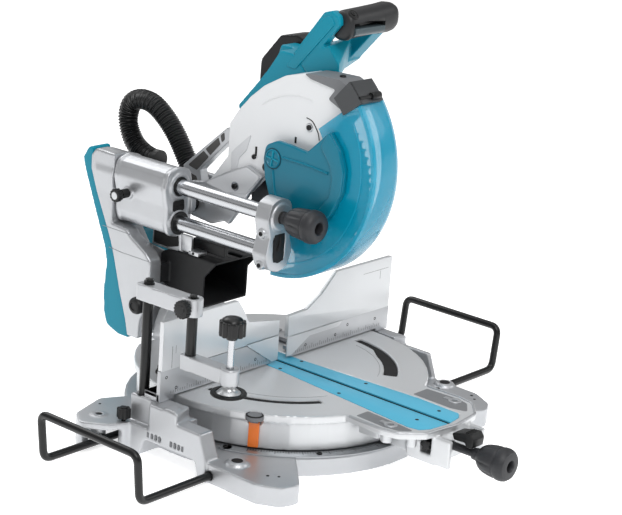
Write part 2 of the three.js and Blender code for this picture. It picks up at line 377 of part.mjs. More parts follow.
// ================= slide carriage =================
const carriage = group(arm, PIPE_X, 170, 235);
{
  const shell = outline([[-110, 262, 20], [-104, 288, 14], [-80, 295, 20], [-56, 288, 14], [-50, 262, 14], [-50, 205, 14], [-58, 187, 12], [-80, 182, 16], [-98, 187, 12], [-103, 205, 10], [-103, 232, 6]], 2);
  let c = prism("y", shell, 170, 288);
  // bracket that carries the head hinge
  c = join(c, prism("z", outline([[-58, 222], [46, 222], [46, 282, 6], [-58, 282]], 2), 206, 258));
  c = join(c, prism("x", outline([[282, 206], [282, 258, 6], [206, 258, 10], [163, 246, 10], [163, 218, 10], [206, 206, 8]], 2), 34, 46));
  c = join(c, prism("x", outline([[282, 206], [282, 258, 6], [206, 258, 10], [163, 246, 10], [163, 218, 10], [206, 206, 8]], 2), -57, -46));
  // web below the barrels, towards the stop bracket
  c = join(c, prism("x", [[238, 190], [172.4, 190], [172.4, 155.6], [167.5, 153.6], [200, 150], [238, 150.5]], -66.5, -62.3));
  c = cut(c, box(0, 34, 200, 290, 240, 262));
  for (const z of [PIPE_TOP_Z, PIPE_LOW_Z]) c = cut(c, rod([PIPE_X, 160, z], [PIPE_X, 300, z], 14.8, 24));
  c = cut(c, rod([-70, 185, 232], [60, 185, 232], 8.2, 20));
  c = cut(c, rod([-120, 258, 238], [-88, 258, 238], 4.9, 12));
  add(carriage, "carriage_housing", c, ...CAST);
  for (const [name, z, fl] of [["upper_pipe_bush", PIPE_TOP_Z, 15.6], ["lower_pipe_bush", PIPE_LOW_Z, 17]])
    add(carriage, name, cut(join(rod([PIPE_X, 169.6, z], [PIPE_X, 196, z], 14.5, 24), rod([PIPE_X, 166, z], [PIPE_X, 169.7, z], fl, 24)), rod([PIPE_X, 150, z], [PIPE_X, 310, z], PIPE_R + GAP, 24)), ...BLACK);
  add(carriage, "head_pivot_shaft", join(rod([-56, 185, 232], [50, 185, 232], 7.9, 20), rod([46.4, 185, 232], [51, 185, 232], 12, 6)), ...STEEL);
  const sl = group(carriage, -110, 258, 238);
  add(sl, "slide_lock_screw", join(rod([-89, 258, 238], [-130, 258, 238], 4.5, 12), rod([-122, 258, 238], [-107.5, 258, 238], 7.5, 12), turned([[0, 0], [10, 0], [11, 2], [11, 9], [9, 11], [0, 11], [0, 0]], [-126, 258, 238], [-1, 0, 0], 18)), ...BLACK);
  add(carriage, "head_return_spring", cut(rod([-45.4, 185, 232], [-34.6, 185, 232], 19, 16), rod([-50, 185, 232], [-20, 185, 232], 10, 16)), 0x202225, 0.4, 0.8);
  add(carriage, "head_stop_bracket", join(box(-66, -61, 150, 172, 156, 181.6), box(-66, -45, 134, 156, 153, 160), box(-46, -36.4, 96, 166, 157, 175)), ...STEEL);
  add(carriage, "dust_hose", hose([[5, 298, 267], [5, 315, 267], [5, 337, 272], [5, 358, 284], [6, 373, 304], [7, 379, 328], [8, 372, 350], [10, 352, 360], [12, 324, 356], [15, 296, 336], [17, 272, 310], [17, 250, 280], [17, 235, 261]], 16, 26, 10), ...BLACK);
}

// ================= saw head =================
const head = group(carriage, 0, HEAD_PIVOT[0], HEAD_PIVOT[1]);
{
  const [by, bz] = BLADE_C;
  // cast arm: hub, side plate to the blade case, slanted beam, hose port
  let h = join(rod([-34, 185, 232], [30, 185, 232], 20, 20), prism("x", outline([[38, 302], [65, 267], [84, 236], [103, 210], [112, 213], [140, 202], [185, 206, 10], [211, 232, 14], [190, 263, 8], [161, 268], [112, 295], [71, 314]], 2), -34, -24.4));
  h = join(h, prism("x", outline([[222, 280, 6], [130, 361], [121.6, 361], [121.6, 343], [183, 280, 4], [178, 262, 8], [172, 240], [200, 222], [214, 258]], 2), -20, -2));
  h = join(h, rod([17, 234.8, 260.8], [17, 229, 253.5], 12.5, 16), rod([17, 231, 256], [17, 198, 241.5], 8.5, 14));
  h = cut(h, rod([-40, 185, 232], [40, 185, 232], 8.5, 20));
  // blade case: two walls and a rim round the upper half of the blade
  const P = [[121, 371], [103, 397], [80, 422], [54, 444], [13, 467], [-23, 477], [-60, 478], [-96, 471], [-130, 458], [-128, 444], [-112, 431], [-92, 403], [-57, 368], [-34, 352], [-58, 300], [20, 283], [37, 300], [70, 265], [103, 262], [158, 269], [121, 318]];
  let bc = prism("x", outline(P.map(([u, v], i) => [u, v, [2, 3, 4].includes(i) ? 20 : 0]), 2), -24, 20);
  bc = cut(bc, prism("x", [...arc(by, bz, 141, -52, 175, 30), [-200, 250], [-100, 150], [80, 150]], -19.5, 15.5));
  bc = cut(bc, rod([-30, by, bz], [40, by, bz], 24, 20));
  // boss the guard turns on
  bc = join(bc, rod([-21, ...GUARD_PIVOT], [-39.6, ...GUARD_PIVOT], 5.9, 14), rod([-21, ...GUARD_PIVOT], [-31.6, ...GUARD_PIVOT], 12, 14));
  add(head, "blade_case", bc, ...WHITE);
  add(head, "head_arm", h, ...CAST);

  // gear and motor housing, right of the case
  const [my, mz] = MOTOR_AXIS;
  let m = prism("x", outline([[-50, 313, 22], [-24, 287, 22], [2, 300, 16], [60, 330], [143, 374, 4], [152, 387, 4], [113, 432], [92, 458], [77, 480, 6], [70, 492, 6], [40, 490], [-10, 441], [-44, 360]], 2), 26.5, 62);
  m = join(m, prism("x", outline([[139, 422], [121, 448], [104, 472], [98, 493, 6], [60, 492], [52, 440], [80, 410]], 2), 60, 92));
  m = cut(m, rod([20, by, bz], [58, by, bz], 12.6, 16), prism("x", [...ring(by, bz, 22, 20)], 30, 57));
  m = cut(m, rod([58, my, mz], [95, my, mz], 22.5, 20), rod([30, my, mz], [60, my, mz], 12, 16));
  // bore that joins the pinion to the gear space
  m = cut(m, prism("x", [[by - 14, bz + 8], [by + 10, bz - 14], [my + 10, mz - 12], [my - 12, mz + 10]], 34, 50));
  add(head, "motor_housing", m, ...TEAL);
  add(head, "motor_end_cap", cut(prism("x", outline([[168, 416, 6], [166, 454, 6], [128, 499, 6], [95, 505, 6], [62, 496, 6], [57, 440, 6], [80, 408, 6]], 2), 92.4, 150), rod([80, my, mz], [144, my, mz], 24, 20)), ...BLACK);

  // handle: a D loop across the top, two legs from the body to a bar along x
  let f = hull([[26.5, 56, 462], [26.5, 50, 482], [26.5, -28, 516], [26.5, -50, 490], [26.5, -52, 471], [26.5, -12, 442],
    [112, 55, 460], [112, 55, 496], [112, -2, 517], [112, 2, 472], [112, 30, 444]]);
  f = join(f, prism("x", outline([[66, 462, 6], [-13, 565, 8], [-29, 570, 10], [-43, 562, 8], [-46, 550], [28, 462]], 2), 26.5, 43));
  f = join(f, hull([[100, 55, 452], [100, 55, 492], [100, 10, 500], [100, 14, 470], [157, 55, 452], [157, 55, 486], [157, 10, 500], [157, 12, 476], [157, 36, 458]]));
  f = join(f, prism("x", outline([[-52, 556], [-28, 523], [15, 475], [40, 455], [54, 468], [54, 486], [14, 530], [-14, 562, 8]], 2), 128, 158));
  f = cut(f, m);
  const bar_end = (x, y, z, a, b) => [0, 1, 2, 3, 4, 5, 6, 7].map((i) => [x, y + a * Math.cos((i + 0.5) * Math.PI / 4), z + b * Math.sin((i + 0.5) * Math.PI / 4)]);
  let g = hull([...bar_end(36, -40, 547, 20, 23), ...bar_end(144, -40, 553, 20, 24), ...bar_end(154, -41, 553, 17, 20), ...bar_end(162, -42, 553, 9, 12)]);
  g = cut(g, box(45, 120, -70, -43, 530, 550), rod([48, -56.4, 572.2], [48, -42, 553], 5.4, 12));
  f = cut(f, g).decompose().sort((a, b) => b.volume() - a.volume())[0];
  add(head, "handle_frame", f, ...TEAL);
  add(head, "handle_grip", g, ...DARK);
  const tr = group(head, 83, -45, 541);
  add(tr, "trigger", prism("x", outline([[-44, 545], [-44, 536], [-57, 532, 3], [-63, 537, 3], [-62, 545, 2]], 2), 46.5, 118.5), 0x5b6a74, 0.5, 0);
  const lo = group(head, 48, -52, 566);
  add(lo, "lock_off_button", rod([48, -54, 569], [48, -47.4, 560.2], 5, 12), ...BLACK);

  // motor armature with its pinion, and the arbor train
  const ar = group(head, 60, my, mz);
  add(ar, "motor_armature", join(rod([36, my, mz], [140, my, mz], 6, 14), rod([64, my, mz], [124, my, mz], 20, 20), prism("x", lobes(my, mz, 9, 2.2, 8, 4), 36, 48)), 0x8a5a32, 0.4, 0.6);
  const sp = group(head, 0, by, bz);
  const teeth = [];
  for (let i = 0; i < 40; i++) {
    const t = 2 * Math.PI * i / 40;
    teeth.push([by + 123 * Math.cos(t), bz + 123 * Math.sin(t)], [by + 130 * Math.cos(t + 0.012), bz + 130 * Math.sin(t + 0.012)], [by + 124 * Math.cos(t + 0.07), bz + 124 * Math.sin(t + 0.07)]);
  }
  add(sp, "saw_blade", prism("x", teeth.reverse(), -BLADE_T / 2, BLADE_T / 2, [ring(by, bz, 12.5, 20)]), ...STEEL);
  add(sp, "arbor_shaft", join(rod([-4.2, by, bz], [50, by, bz], 12, 16), rod([1.3, by, bz], [8, by, bz], 24, 20), prism("x", lobes(by, bz, 20.5, 2.2, 24, 2), 34, 48)), ...STEEL);
  add(sp, "outer_flange", cut(rod([-8, by, bz], [-1.3, by, bz], 24, 20), rod([-4.5, by, bz], [0, by, bz], 12.4, 16), rod([-10, by, bz], [-3, by, bz], 4.4, 12)), ...STEEL);
  add(sp, "arbor_bolt", join(rod([-14, by, bz], [-8.3, by, bz], 10, 6), rod([-8.4, by, bz], [-4.6, by, bz], 4, 12)), ...BLACK);

  // ---- guard: left wall, rim and right band of a 129 degree sector, with its cover ----
  const gd = group(head, 0, GUARD_PIVOT[0], GUARD_PIVOT[1]);
  const [gy, gz] = GUARD_PIVOT;
  const sector = (r0, r1, d0, d1, n) => [...arc(gy, gz, r1, d0, d1, n), ...arc(gy, gz, r0, d1, d0, n)];
  const A0 = 141, A1 = 270;
  let gu = prism("x", sector(98, GUARD_R, A0, A1, 16), -34.5, -32);
  gu = join(gu, prism("x", sector(14, 100, 180, A1, 10), -34.5, -32), prism("x", [...ring(gy, gz, 20, 20)], -34.5, -32));
  gu = join(gu, prism("x", sector(GUARD_R - 2.6, GUARD_R, A0, A1, 16), -34.4, 24));
  gu = join(gu, prism("x", sector(158, GUARD_R, A0, A1, 16), 22.4, 24.6));
  gu = cut(gu, rod([-40, gy, gz], [0, gy, gz], 6.4, 14));
  add(gd, "lower_guard", gu, 0x2fa9c4, 0.12, 0, { transparent: true, opacity: 0.55 });
  let cc = prism("x", outline([[29, 336, 16], [26, 358, 14], [4, 369, 12], [-20, 368], [-57, 364, 4], [-92, 401, 3], [-116, 372], [-124, 337, 20], [-119, 296, 20], [-94, 256, 8], [-50, 254], [-6, 268], [14, 282], [24, 306]], 2), -45, -35);
  cc = cut(cc, rod([-40, gy, gz], [-30, gy, gz], 8.8, 14));
  add(gd, "centre_cover", cc, ...TEAL);
  add(gd, "guard_front_bracket", join(prism("x", sector(156, 196, 132, 143.6, 4), -39, -35), prism("x", sector(190.4, 196, 132, 143.6, 4), -38.9, 14), rod([-12, gy + 198 * Math.cos(141 * Math.PI / 180), gz + 198 * Math.sin(141 * Math.PI / 180)], [8, gy + 198 * Math.cos(141 * Math.PI / 180), gz + 198 * Math.sin(141 * Math.PI / 180)], 6, 12)), ...GREY);
}

// ================= vise =================
{
  const [px, py] = VISE_POST, [rx, ry] = VISE_ROD, [sx, sy] = VISE_SCREW;
  const v = group(saw, px, py, 0);
  add(v, "vise_post", join(rod([px, py, -23], [px, py, 177], 8, 16), rod([px, py, 175], [px, py, 180], 6, 6)), 0x202224, 0.35, 0.6);
  let ua = join(prism("z", outline([[px - 14, py + 15, 5], [px + 13, py + 15, 5], [rx + 12, ry + 4, 3], [rx + 12, ry - 6, 3], [rx - 14, ry - 6, 3], [rx - 14, ry + 4, 3]], 2), 147, 172), rod([rx, ry, 146], [rx, ry, 173], 15, 18));
  ua = cut(ua, rod([px, py, 140], [px, py, 190], 8.3, 16), rod([rx, ry, 140], [rx, ry, 190], 8.3, 16), rod([rx - 30, ry, 159], [rx - 6, ry, 159], 4.4, 10));
  add(v, "vise_upper_arm", ua, ...CAST);
  const la = group(v, rx, ry, 74);
  add(la, "vise_drop_rod", join(rod([rx, ry, 60], [rx, ry, 173], 8, 16), rod([rx, ry, 172], [rx, ry, 177], 6, 6)), 0x202224, 0.35, 0.6);
  const lk = group(v, rx - 22, ry, 159);
  add(lk, "vise_lock_knob", join(rod([rx - 24, ry, 159], [rx - 8.6, ry, 159], 4, 10), prism("x", lobes(ry, 159, 14, 2.6, 6), rx - 27, rx - 17)), ...BLACK);
  const dir = new THREE.Vector2(sx - rx, sy - ry).normalize(), along = (t, u) => [rx + dir.x * t - dir.y * u, ry + dir.y * t + dir.x * u];
  let lo = join(prism("z", outline([[...along(-13, -10), 3], [...along(-13, 10), 3], [...along(79, 10.4), 0], [...along(79, -10.4), 0]], 2), 61, 84), rod([sx, sy, 60], [sx, sy, 85.5], 14, 20));
  lo = cut(lo, rod([rx, ry, 50], [rx, ry, 100], 8, 16), rod([sx, sy, 50], [sx, sy, 100], 5.6, 14));
  add(la, "vise_lower_arm", lo, ...CAST);
  const ft = group(la, sx, sy, 50);
  add(ft, "vise_foot", cut(turned([[0, 0.5], [27, 0.5], [27, 5], [20, 5], [12, 12], [9, 14], [0, 14], [0, 0.5]], [sx, sy, 44], [0, 0, 1], 24), rod([sx, sy, 53], [sx, sy, 60], 5.5, 12)), ...BLACK);
  const sc = group(ft, sx, sy, 50);
  add(sc, "vise_screw", join(rod([sx, sy, 53.4], [sx, sy, 140], 5, 14), prism("z", lobes(sx, sy, 20, 2.6, 10), 136, 158), rod([sx, sy, 157], [sx, sy, 165], 13, 14, 9)), ...BLACK);
}

saw.position.set(0, Y_SHIFT, TABLE_H);
export default root;
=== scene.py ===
# Sliding compound mitre saw: the visual model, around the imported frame.
import bpy, bmesh, math, random
from math import sin, cos, pi, radians, degrees, atan2, hypot, sqrt
from mathutils import Vector, Matrix


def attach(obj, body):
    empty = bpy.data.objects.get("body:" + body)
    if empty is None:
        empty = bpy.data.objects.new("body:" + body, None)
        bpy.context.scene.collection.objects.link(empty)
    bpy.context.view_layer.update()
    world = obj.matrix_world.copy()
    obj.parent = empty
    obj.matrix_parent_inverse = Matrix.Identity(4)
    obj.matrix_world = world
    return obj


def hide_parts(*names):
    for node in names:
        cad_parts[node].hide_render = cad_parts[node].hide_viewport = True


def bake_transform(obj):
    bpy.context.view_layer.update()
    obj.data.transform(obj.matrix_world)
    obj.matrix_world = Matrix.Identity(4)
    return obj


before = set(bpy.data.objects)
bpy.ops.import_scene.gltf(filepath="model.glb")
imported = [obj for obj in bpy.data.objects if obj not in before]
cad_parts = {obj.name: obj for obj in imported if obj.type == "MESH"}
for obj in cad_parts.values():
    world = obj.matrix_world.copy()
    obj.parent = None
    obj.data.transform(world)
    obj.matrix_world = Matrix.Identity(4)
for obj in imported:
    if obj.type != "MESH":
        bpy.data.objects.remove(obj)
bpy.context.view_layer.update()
scene = bpy.context.scene
Y_SHIFT, TABLE_H = 29.0, 91.0          # saw coordinates (mm) to the shared frame
GY, GZ, GR = 7, 340, 189               # guard hinge and radius
BY, BZ, BR = -24, 313, 130             # blade centre and radius

def P(x, y, z):
    return Vector((x / 1000, (y + Y_SHIFT) / 1000, (z + TABLE_H) / 1000))

# ------------------------------------------------------------------ camera
d = Vector((0.73922751, 0.60698613, -0.29173708)).normalized()
r = d.cross(Vector((0, 0, 1))).normalized()
u = r.cross(d)
roll = radians(4.24186767)
r2 = cos(roll) * r + sin(roll) * u
u2 = -sin(roll) * r + cos(roll) * u
cam = bpy.data.objects.new("camera", bpy.data.cameras.new("camera"))
scene.collection.objects.link(cam)
cam.matrix_world = Matrix.Translation(P(-2210.789, -1860.136, 1058.344)) @ Matrix((r2, u2, -d)).transposed().to_4x4()
cam.data.sensor_width = 36
cam.data.sensor_fit = "HORIZONTAL"
cam.data.lens = 1914.716113578578 / 622 * 36
cam.data.clip_end = 60
scene.camera = cam

# ------------------------------------------------------------------ materials
def lin(c):
    return tuple(((v / 12.92) if v <= 0.04045 else ((v + 0.055) / 1.055) ** 2.4) for v in [q / 255 for q in c])

def material(name, rgb, rough, metal=0.0, var=0.06, vscale=14.0, rvar=0.06, bump=0.12, bscale=900.0, dist=0.0002,
             coat=0.0, alpha=1.0, wear=0.0, rings=None, scratch=0.0, spec=0.5):
    m = bpy.data.materials.new(name)
    m.use_nodes = True
    nt = m.node_tree
    b = nt.nodes["Principled BSDF"]
    L = nt.links.new
    c = lin(rgb)
    tc = nt.nodes.new("ShaderNodeTexCoord")
    n1 = nt.nodes.new("ShaderNodeTexNoise"); n1.inputs["Scale"].default_value = vscale; n1.inputs["Detail"].default_value = 5
    L(tc.outputs["Object"], n1.inputs["Vector"])
    mix = nt.nodes.new("ShaderNodeMix"); mix.data_type = "RGBA"
    mix.inputs[6].default_value = tuple(max(0, v * (1 - var)) for v in c) + (1,)
    mix.inputs[7].default_value = tuple(min(1, v * (1 + var)) for v in c) + (1,)
    L(n1.outputs["Fac"], mix.inputs[0])
    col = mix.outputs[2]
    if wear > 0:   # paint rubbed brighter along edges
        g = nt.nodes.new("ShaderNodeNewGeometry")
        ramp = nt.nodes.new("ShaderNodeMapRange"); ramp.inputs[1].default_value = 0.54; ramp.inputs[2].default_value = 0.62
        L(g.outputs["Pointiness"], ramp.inputs[0])
        mul = nt.nodes.new("ShaderNodeMath"); mul.operation = "MULTIPLY"; mul.inputs[1].default_value = wear
        L(ramp.outputs[0], mul.inputs[0])
        w = nt.nodes.new("ShaderNodeMix"); w.data_type = "RGBA"
        L(mul.outputs[0], w.inputs[0]); L(col, w.inputs[6])
        w.inputs[7].default_value = tuple(min(1, v * 1.6 + 0.12) for v in c) + (1,)
        col = w.outputs[2]
    L(col, b.inputs["Base Color"])
    n2 = nt.nodes.new("ShaderNodeTexNoise"); n2.inputs["Scale"].default_value = bscale; n2.inputs["Detail"].default_value = 4
    L(tc.outputs["Object"], n2.inputs["Vector"])
    h = n2.outputs["Fac"]
    if rings:      # turned grooves round the mitre axis
        sx = nt.nodes.new("ShaderNodeSeparateXYZ"); L(tc.outputs["Object"], sx.inputs[0])
        y = nt.nodes.new("ShaderNodeMath"); y.operation = "SUBTRACT"; y.inputs[1].default_value = Y_SHIFT / 1000
        L(sx.outputs[1], y.inputs[0])
        cb = nt.nodes.new("ShaderNodeCombineXYZ"); L(sx.outputs[0], cb.inputs[0]); L(y.outputs[0], cb.inputs[1])
        ln = nt.nodes.new("ShaderNodeVectorMath"); ln.operation = "LENGTH"; L(cb.outputs[0], ln.inputs[0])
        ml = nt.nodes.new("ShaderNodeMath"); ml.operation = "MULTIPLY"; ml.inputs[1].default_value = rings
        L(ln.outputs["Value"], ml.inputs[0])
        si = nt.nodes.new("ShaderNodeMath"); si.operation = "SINE"; L(ml.outputs[0], si.inputs[0])
        ad = nt.nodes.new("ShaderNodeMath"); ad.operation = "ADD"; L(si.outputs[0], ad.inputs[0]); L(h, ad.inputs[1])
        h = ad.outputs[0]
    if scratch > 0:
        mp = nt.nodes.new("ShaderNodeMapping"); mp.inputs["Scale"].default_value = (1, 1, 60); L(tc.outputs["Object"], mp.inputs[0])
        n3 = nt.nodes.new("ShaderNodeTexNoise"); n3.inputs["Scale"].default_value = 60; L(mp.outputs[0], n3.inputs["Vector"])
        ad = nt.nodes.new("ShaderNodeMath"); ad.operation = "MULTIPLY_ADD"; ad.inputs[1].default_value = scratch
        L(n3.outputs["Fac"], ad.inputs[0]); L(h, ad.inputs[2]); h = ad.outputs[0]
    bp = nt.nodes.new("ShaderNodeBump"); bp.inputs["Strength"].default_value = bump; bp.inputs["Distance"].default_value = dist
    L(h, bp.inputs["Height"]); L(bp.outputs[0], b.inputs["Normal"])
    n4 = nt.nodes.new("ShaderNodeTexNoise"); n4.inputs["Scale"].default_value = vscale * 3.1; n4.inputs["Detail"].default_value = 3
    L(tc.outputs["Object"], n4.inputs["Vector"])
    mr = nt.nodes.new("ShaderNodeMapRange"); mr.inputs[3].default_value = max(0.02, rough - rvar); mr.inputs[4].default_value = min(1, rough + rvar)
    L(n4.outputs["Fac"], mr.inputs[0]); L(mr.outputs[0], b.inputs["Roughness"])
    b.inputs["Metallic"].default_value = metal
    b.inputs["Coat Weight"].default_value = coat
    b.inputs["Specular IOR Level"].default_value = spec
    b.inputs["Coat Roughness"].default_value = 0.12
    if alpha < 1:
        b.inputs["Alpha"].default_value = alpha
        m.blend_method = "BLEND"
    m.diffuse_color = c + (alpha,)
    return m

M = {
    "cast": material("cast_aluminium", (188, 190, 193), 0.37, 0.74, var=0.05, vscale=22, bump=0.22, bscale=700, dist=0.0003),
    # a darker copy of the cast aluminium: painted shade for the sunk fields, the seams and the table's step
    "cast_painted_shade": material("cast_aluminium_painted_shade", (146, 148, 151), 0.42, 0.7, bump=0.25, bscale=700, dist=0.0003),
    "table": material("machined_table", (212, 214, 216), 0.33, 0.5, var=0.04, vscale=9, bump=0.10, bscale=1200, rings=2600, dist=0.00006),
    "scale": material("scale_plate", (160, 163, 166), 0.34, 0.8, bump=0.06),
    "chrome": material("ground_pipe", (190, 192, 195), 0.24, 1.0, var=0.02, rvar=0.03, bump=0.02, bscale=2000, dist=0.00005),
    "steel": material("bright_steel", (178, 181, 184), 0.26, 1.0, var=0.05, bump=0.06, bscale=1500, dist=0.0001),
    "zinc": material("zinc_plate", (196, 198, 200), 0.30, 0.9, var=0.10, vscale=40, bump=0.05),
    "teal": material("teal_plastic", (0, 134, 158), 0.38, 0.0, var=0.05, rvar=0.05, bump=0.16, bscale=1600, dist=0.0002, coat=0.06, spec=0.26),
    "tealdk": material("teal_plastic_cover", (0, 112, 136), 0.32, 0.0, var=0.05, bump=0.05, coat=0.10, spec=0.28),
    "case": material("case_paint", (222, 224, 226), 0.30, 0.0, var=0.02, rvar=0.04, bump=0.08, bscale=800, coat=0.3),
    "armgrey": material("arm_paint", (66, 68, 70), 0.40, 0.35, bump=0.2),
    "black": material("black_plastic", (17, 18, 19), 0.44, 0.0, var=0.15, bump=0.18, bscale=1500, spec=0.35),
    "blacksteel": material("black_steel", (9, 10, 11), 0.34, 0.0, var=0.15, rvar=0.05, bump=0.05, coat=0.10, spec=0.35),
    "grip": material("grip_rubber", (25, 26, 28), 0.46, 0.0, var=0.10, bump=0.35, bscale=1100, dist=0.0003),
    "rubber": material("chute_rubber", (24, 25, 27), 0.58, 0.0, var=0.12, bump=0.3, bscale=500, dist=0.0004),
    "hose": material("hose_rubber", (13, 14, 15), 0.40, 0.0, var=0.12, bump=0.1, bscale=500),
    "board": material("board_plastic", (78, 180, 212), 0.40, 0.0, var=0.03, bump=0.12, bscale=1100, coat=0.15),
    "orange": material("orange_plastic", (240, 122, 38), 0.38, 0.0, var=0.04, bump=0.08, coat=0.3),
    "guard": material("guard_clear", (0, 158, 192), 0.14, 0.0, var=0.04, rvar=0.03, bump=0.03, bscale=60, dist=0.0004, coat=0.12, alpha=0.60, spec=0.3),
    "guardrim": material("guard_rim", (20, 166, 200), 0.18, 0.0, var=0.04, bump=0.03, bscale=60, coat=0.12, alpha=0.66, spec=0.3),
    "plate": material("painted_plate", (206, 208, 211), 0.48, 0.0, var=0.03, bump=0.06, spec=0.3),
    # grey plastic of the clip and the cap, also painted shade in the wing's slots
    "midgrey": material("grey_plastic_and_slot_shade", (112, 114, 117), 0.45, 0.0, var=0.06, bump=0.12, bscale=1500, spec=0.35),
    # dark teal: painted shade in the centre cover's groove and hub
    "tealshade": material("teal_painted_shade", (0, 62, 78), 0.5, 0.0, bump=0.05, spec=0.3),
    "trig": material("trigger_grey", (70, 82, 87), 0.40, 0.0, var=0.06, bump=0.12, bscale=1500, spec=0.4),
    # dark grey for the head arm's sunk panels: painted shade
    "arm_panel_painted_shade": material("arm_recess_painted_shade", (72, 71, 70), 0.5, 0.2, bump=0.2),
    "knob": material("knob_grey", (44, 45, 48), 0.48, 0.0, var=0.08, bump=0.25, bscale=1100, dist=0.0003, spec=0.4),
    "blade": material("blade_steel", (64, 66, 69), 0.42, 0.8, var=0.06, bump=0.05, rings=None),
    "tooth": material("carbide", (50, 51, 53), 0.40, 0.8),
    "mark": material("black_marks", (24, 24, 26), 0.55, 0.0, var=0.1, bump=0.05),
    "dark": material("deep_shade", (14, 14, 15), 0.75, 0.0, var=0.2, bump=0.1),
    "copper": material("winding", (150, 84, 42), 0.38, 0.8, var=0.15, bump=0.5, bscale=900, dist=0.0006),
}

# ------------------------------------------------------------------ mesh helpers (saw coordinates, mm)
def rounded(points, n=4):
    out, N = [], len(points)
    for i, p in enumerate(points):
        rr = p[2] if len(p) > 2 else 0
        q = Vector(p[:2])
        if not rr:
            out.append(tuple(q)); continue
        a, b = Vector(points[i - 1][:2]) - q, Vector(points[(i + 1) % N][:2]) - q
        half = a.angle(b) / 2
        t = min(rr / math.tan(half), a.length * 0.49, b.length * 0.49)
        s, e = q + a.normalized() * t, q + b.normalized() * t
        for k in range(n + 1):
            f = k / n
            out.append(tuple((1 - f) ** 2 * s + 2 * f * (1 - f) * q + f * f * e))
    return out

def to3(axis, a, b, w):
    return Vector((w, a, b)) if axis == "x" else Vector((a, w, b)) if axis == "y" else Vector((a, b, w))

def prism(bm, axis, pts, w0, w1, bev=0.0, seg=2, only=None):
    lo = [bm.verts.new(to3(axis, p[0], p[1], w0)) for p in pts]
    hi = [bm.verts.new(to3(axis, p[0], p[1], w1)) for p in pts]
    n = len(pts)
    faces = [bm.faces.new(lo), bm.faces.new(hi)]
    for i in range(n):
        faces.append(bm.faces.new((lo[i], lo[(i + 1) % n], hi[(i + 1) % n], hi[i])))
    bmesh.ops.recalc_face_normals(bm, faces=faces)
    if bev:
        edges = set(e for f in faces[:2] for e in f.edges)
        if only == "lo": edges = set(faces[0].edges)
        if only == "hi": edges = set(faces[1].edges)
        sharp = [e for e in set(e for f in faces for e in f.edges) - edges if e.calc_face_angle(0) > radians(50)] if only is None else []
        bmesh.ops.bevel(bm, geom=list(edges) + sharp, offset=bev, segments=seg, profile=0.6, affect="EDGES", clamp_overlap=True)
    return bm

def box(bm, x0, x1, y0, y1, z0, z1, bev=0.0, seg=2):
    return prism(bm, "z", [(x0, y0), (x1, y0), (x1, y1), (x0, y1)], z0, z1, bev, seg)

def basis(dr):
    dr = Vector(dr).normalized()
    a = Vector((0, 0, 1)) if abs(dr.z) < 0.9 else Vector((1, 0, 0))
    e1 = dr.cross(a).normalized()
    return dr, e1, dr.cross(e1)

def lathe(bm, prof, o, dr, seg=48, a0=0.0, a1=2 * pi):
    """prof is [(radius, height)], closed on the axis or on itself."""
    dr, e1, e2 = basis(dr)
    o = Vector(o)
    rings, full = [], abs(a1 - a0 - 2 * pi) < 1e-6
    steps = seg if full else seg + 1
    for rr, h in prof:
        if rr < 1e-6:
            rings.append([bm.verts.new(o + dr * h)])
        else:
            rings.append([bm.verts.new(o + dr * h + (e1 * cos(a0 + (a1 - a0) * k / seg) + e2 * sin(a0 + (a1 - a0) * k / seg)) * rr) for k in range(steps)])
    faces = []
    for A, B in zip(rings, rings[1:]):
        for k in range(seg):
            k1 = (k + 1) % len(A) if len(A) > 1 else 0
            m1 = (k + 1) % len(B) if len(B) > 1 else 0
            vs = [A[k % len(A)], A[k1], B[m1], B[k % len(B)]]
            vs = [v for i, v in enumerate(vs) if v not in vs[:i]]
            if len(vs) > 2:
                faces.append(bm.faces.new(vs))
    if not full:
        for k in (0, -1):
            ring = [R_[k] if len(R_) > 1 else R_[0] for R_ in rings]
            ring = [v for i, v in enumerate(ring) if v not in ring[:i]]
            if len(ring) > 2: faces.append(bm.faces.new(ring))
    bmesh.ops.recalc_face_normals(bm, faces=faces)
    return bm

def rod(bm, a, b, rr, rb=None, seg=32, ch=0.0):
    a, b = Vector(a), Vector(b)
    L = (b - a).length
    rb = rr if rb is None else rb
    if ch:
        prof = [(0, 0), (rr - ch, 0), (rr - ch * 0.3, ch * 0.3), (rr, ch), (rb, L - ch), (rb - ch * 0.3, L - ch * 0.3), (rb - ch, L), (0, L)]
    else:
        prof = [(0, 0), (rr, 0), (rb, L), (0, L)]
    return lathe(bm, prof, a, b - a, seg)

def sweep(bm, pts, rr, seg=16, closed=False, cap=True):
    """tube through points; rr may be a number or a list."""
    pts = [Vector(p) for p in pts]
    n = len(pts)
    tang = []
    for i in range(n):
        a = pts[i - 1] if (i or closed) else pts[i]
        b = pts[(i + 1) % n] if (i < n - 1 or closed) else pts[i]
        tang.append((b - a).normalized())
    t0, e1, e2 = basis(tang[0])
    rings = []
    prev = tang[0]
    for i in range(n):
        ax = prev.cross(tang[i])
        if ax.length > 1e-9:
            q = Matrix.Rotation(prev.angle(tang[i]), 3, ax.normalized())
            e1 = q @ e1
        e1 = (e1 - tang[i] * e1.dot(tang[i])).normalized()
        e2 = tang[i].cross(e1)
        prev = tang[i]
        R_ = rr[i] if isinstance(rr, (list, tuple)) else rr
        rings.append([bm.verts.new(pts[i] + (e1 * cos(2 * pi * k / seg) + e2 * sin(2 * pi * k / seg)) * R_) for k in range(seg)])
    faces = []
    for i in range(n if closed else n - 1):
        A, B = rings[i], rings[(i + 1) % n]
        for k in range(seg):
            faces.append(bm.faces.new((A[k], A[(k + 1) % seg], B[(k + 1) % seg], B[k])))
    if not closed and cap:
        faces.append(bm.faces.new(rings[0])); faces.append(bm.faces.new(rings[-1]))
    bmesh.ops.recalc_face_normals(bm, faces=faces)
    return bm

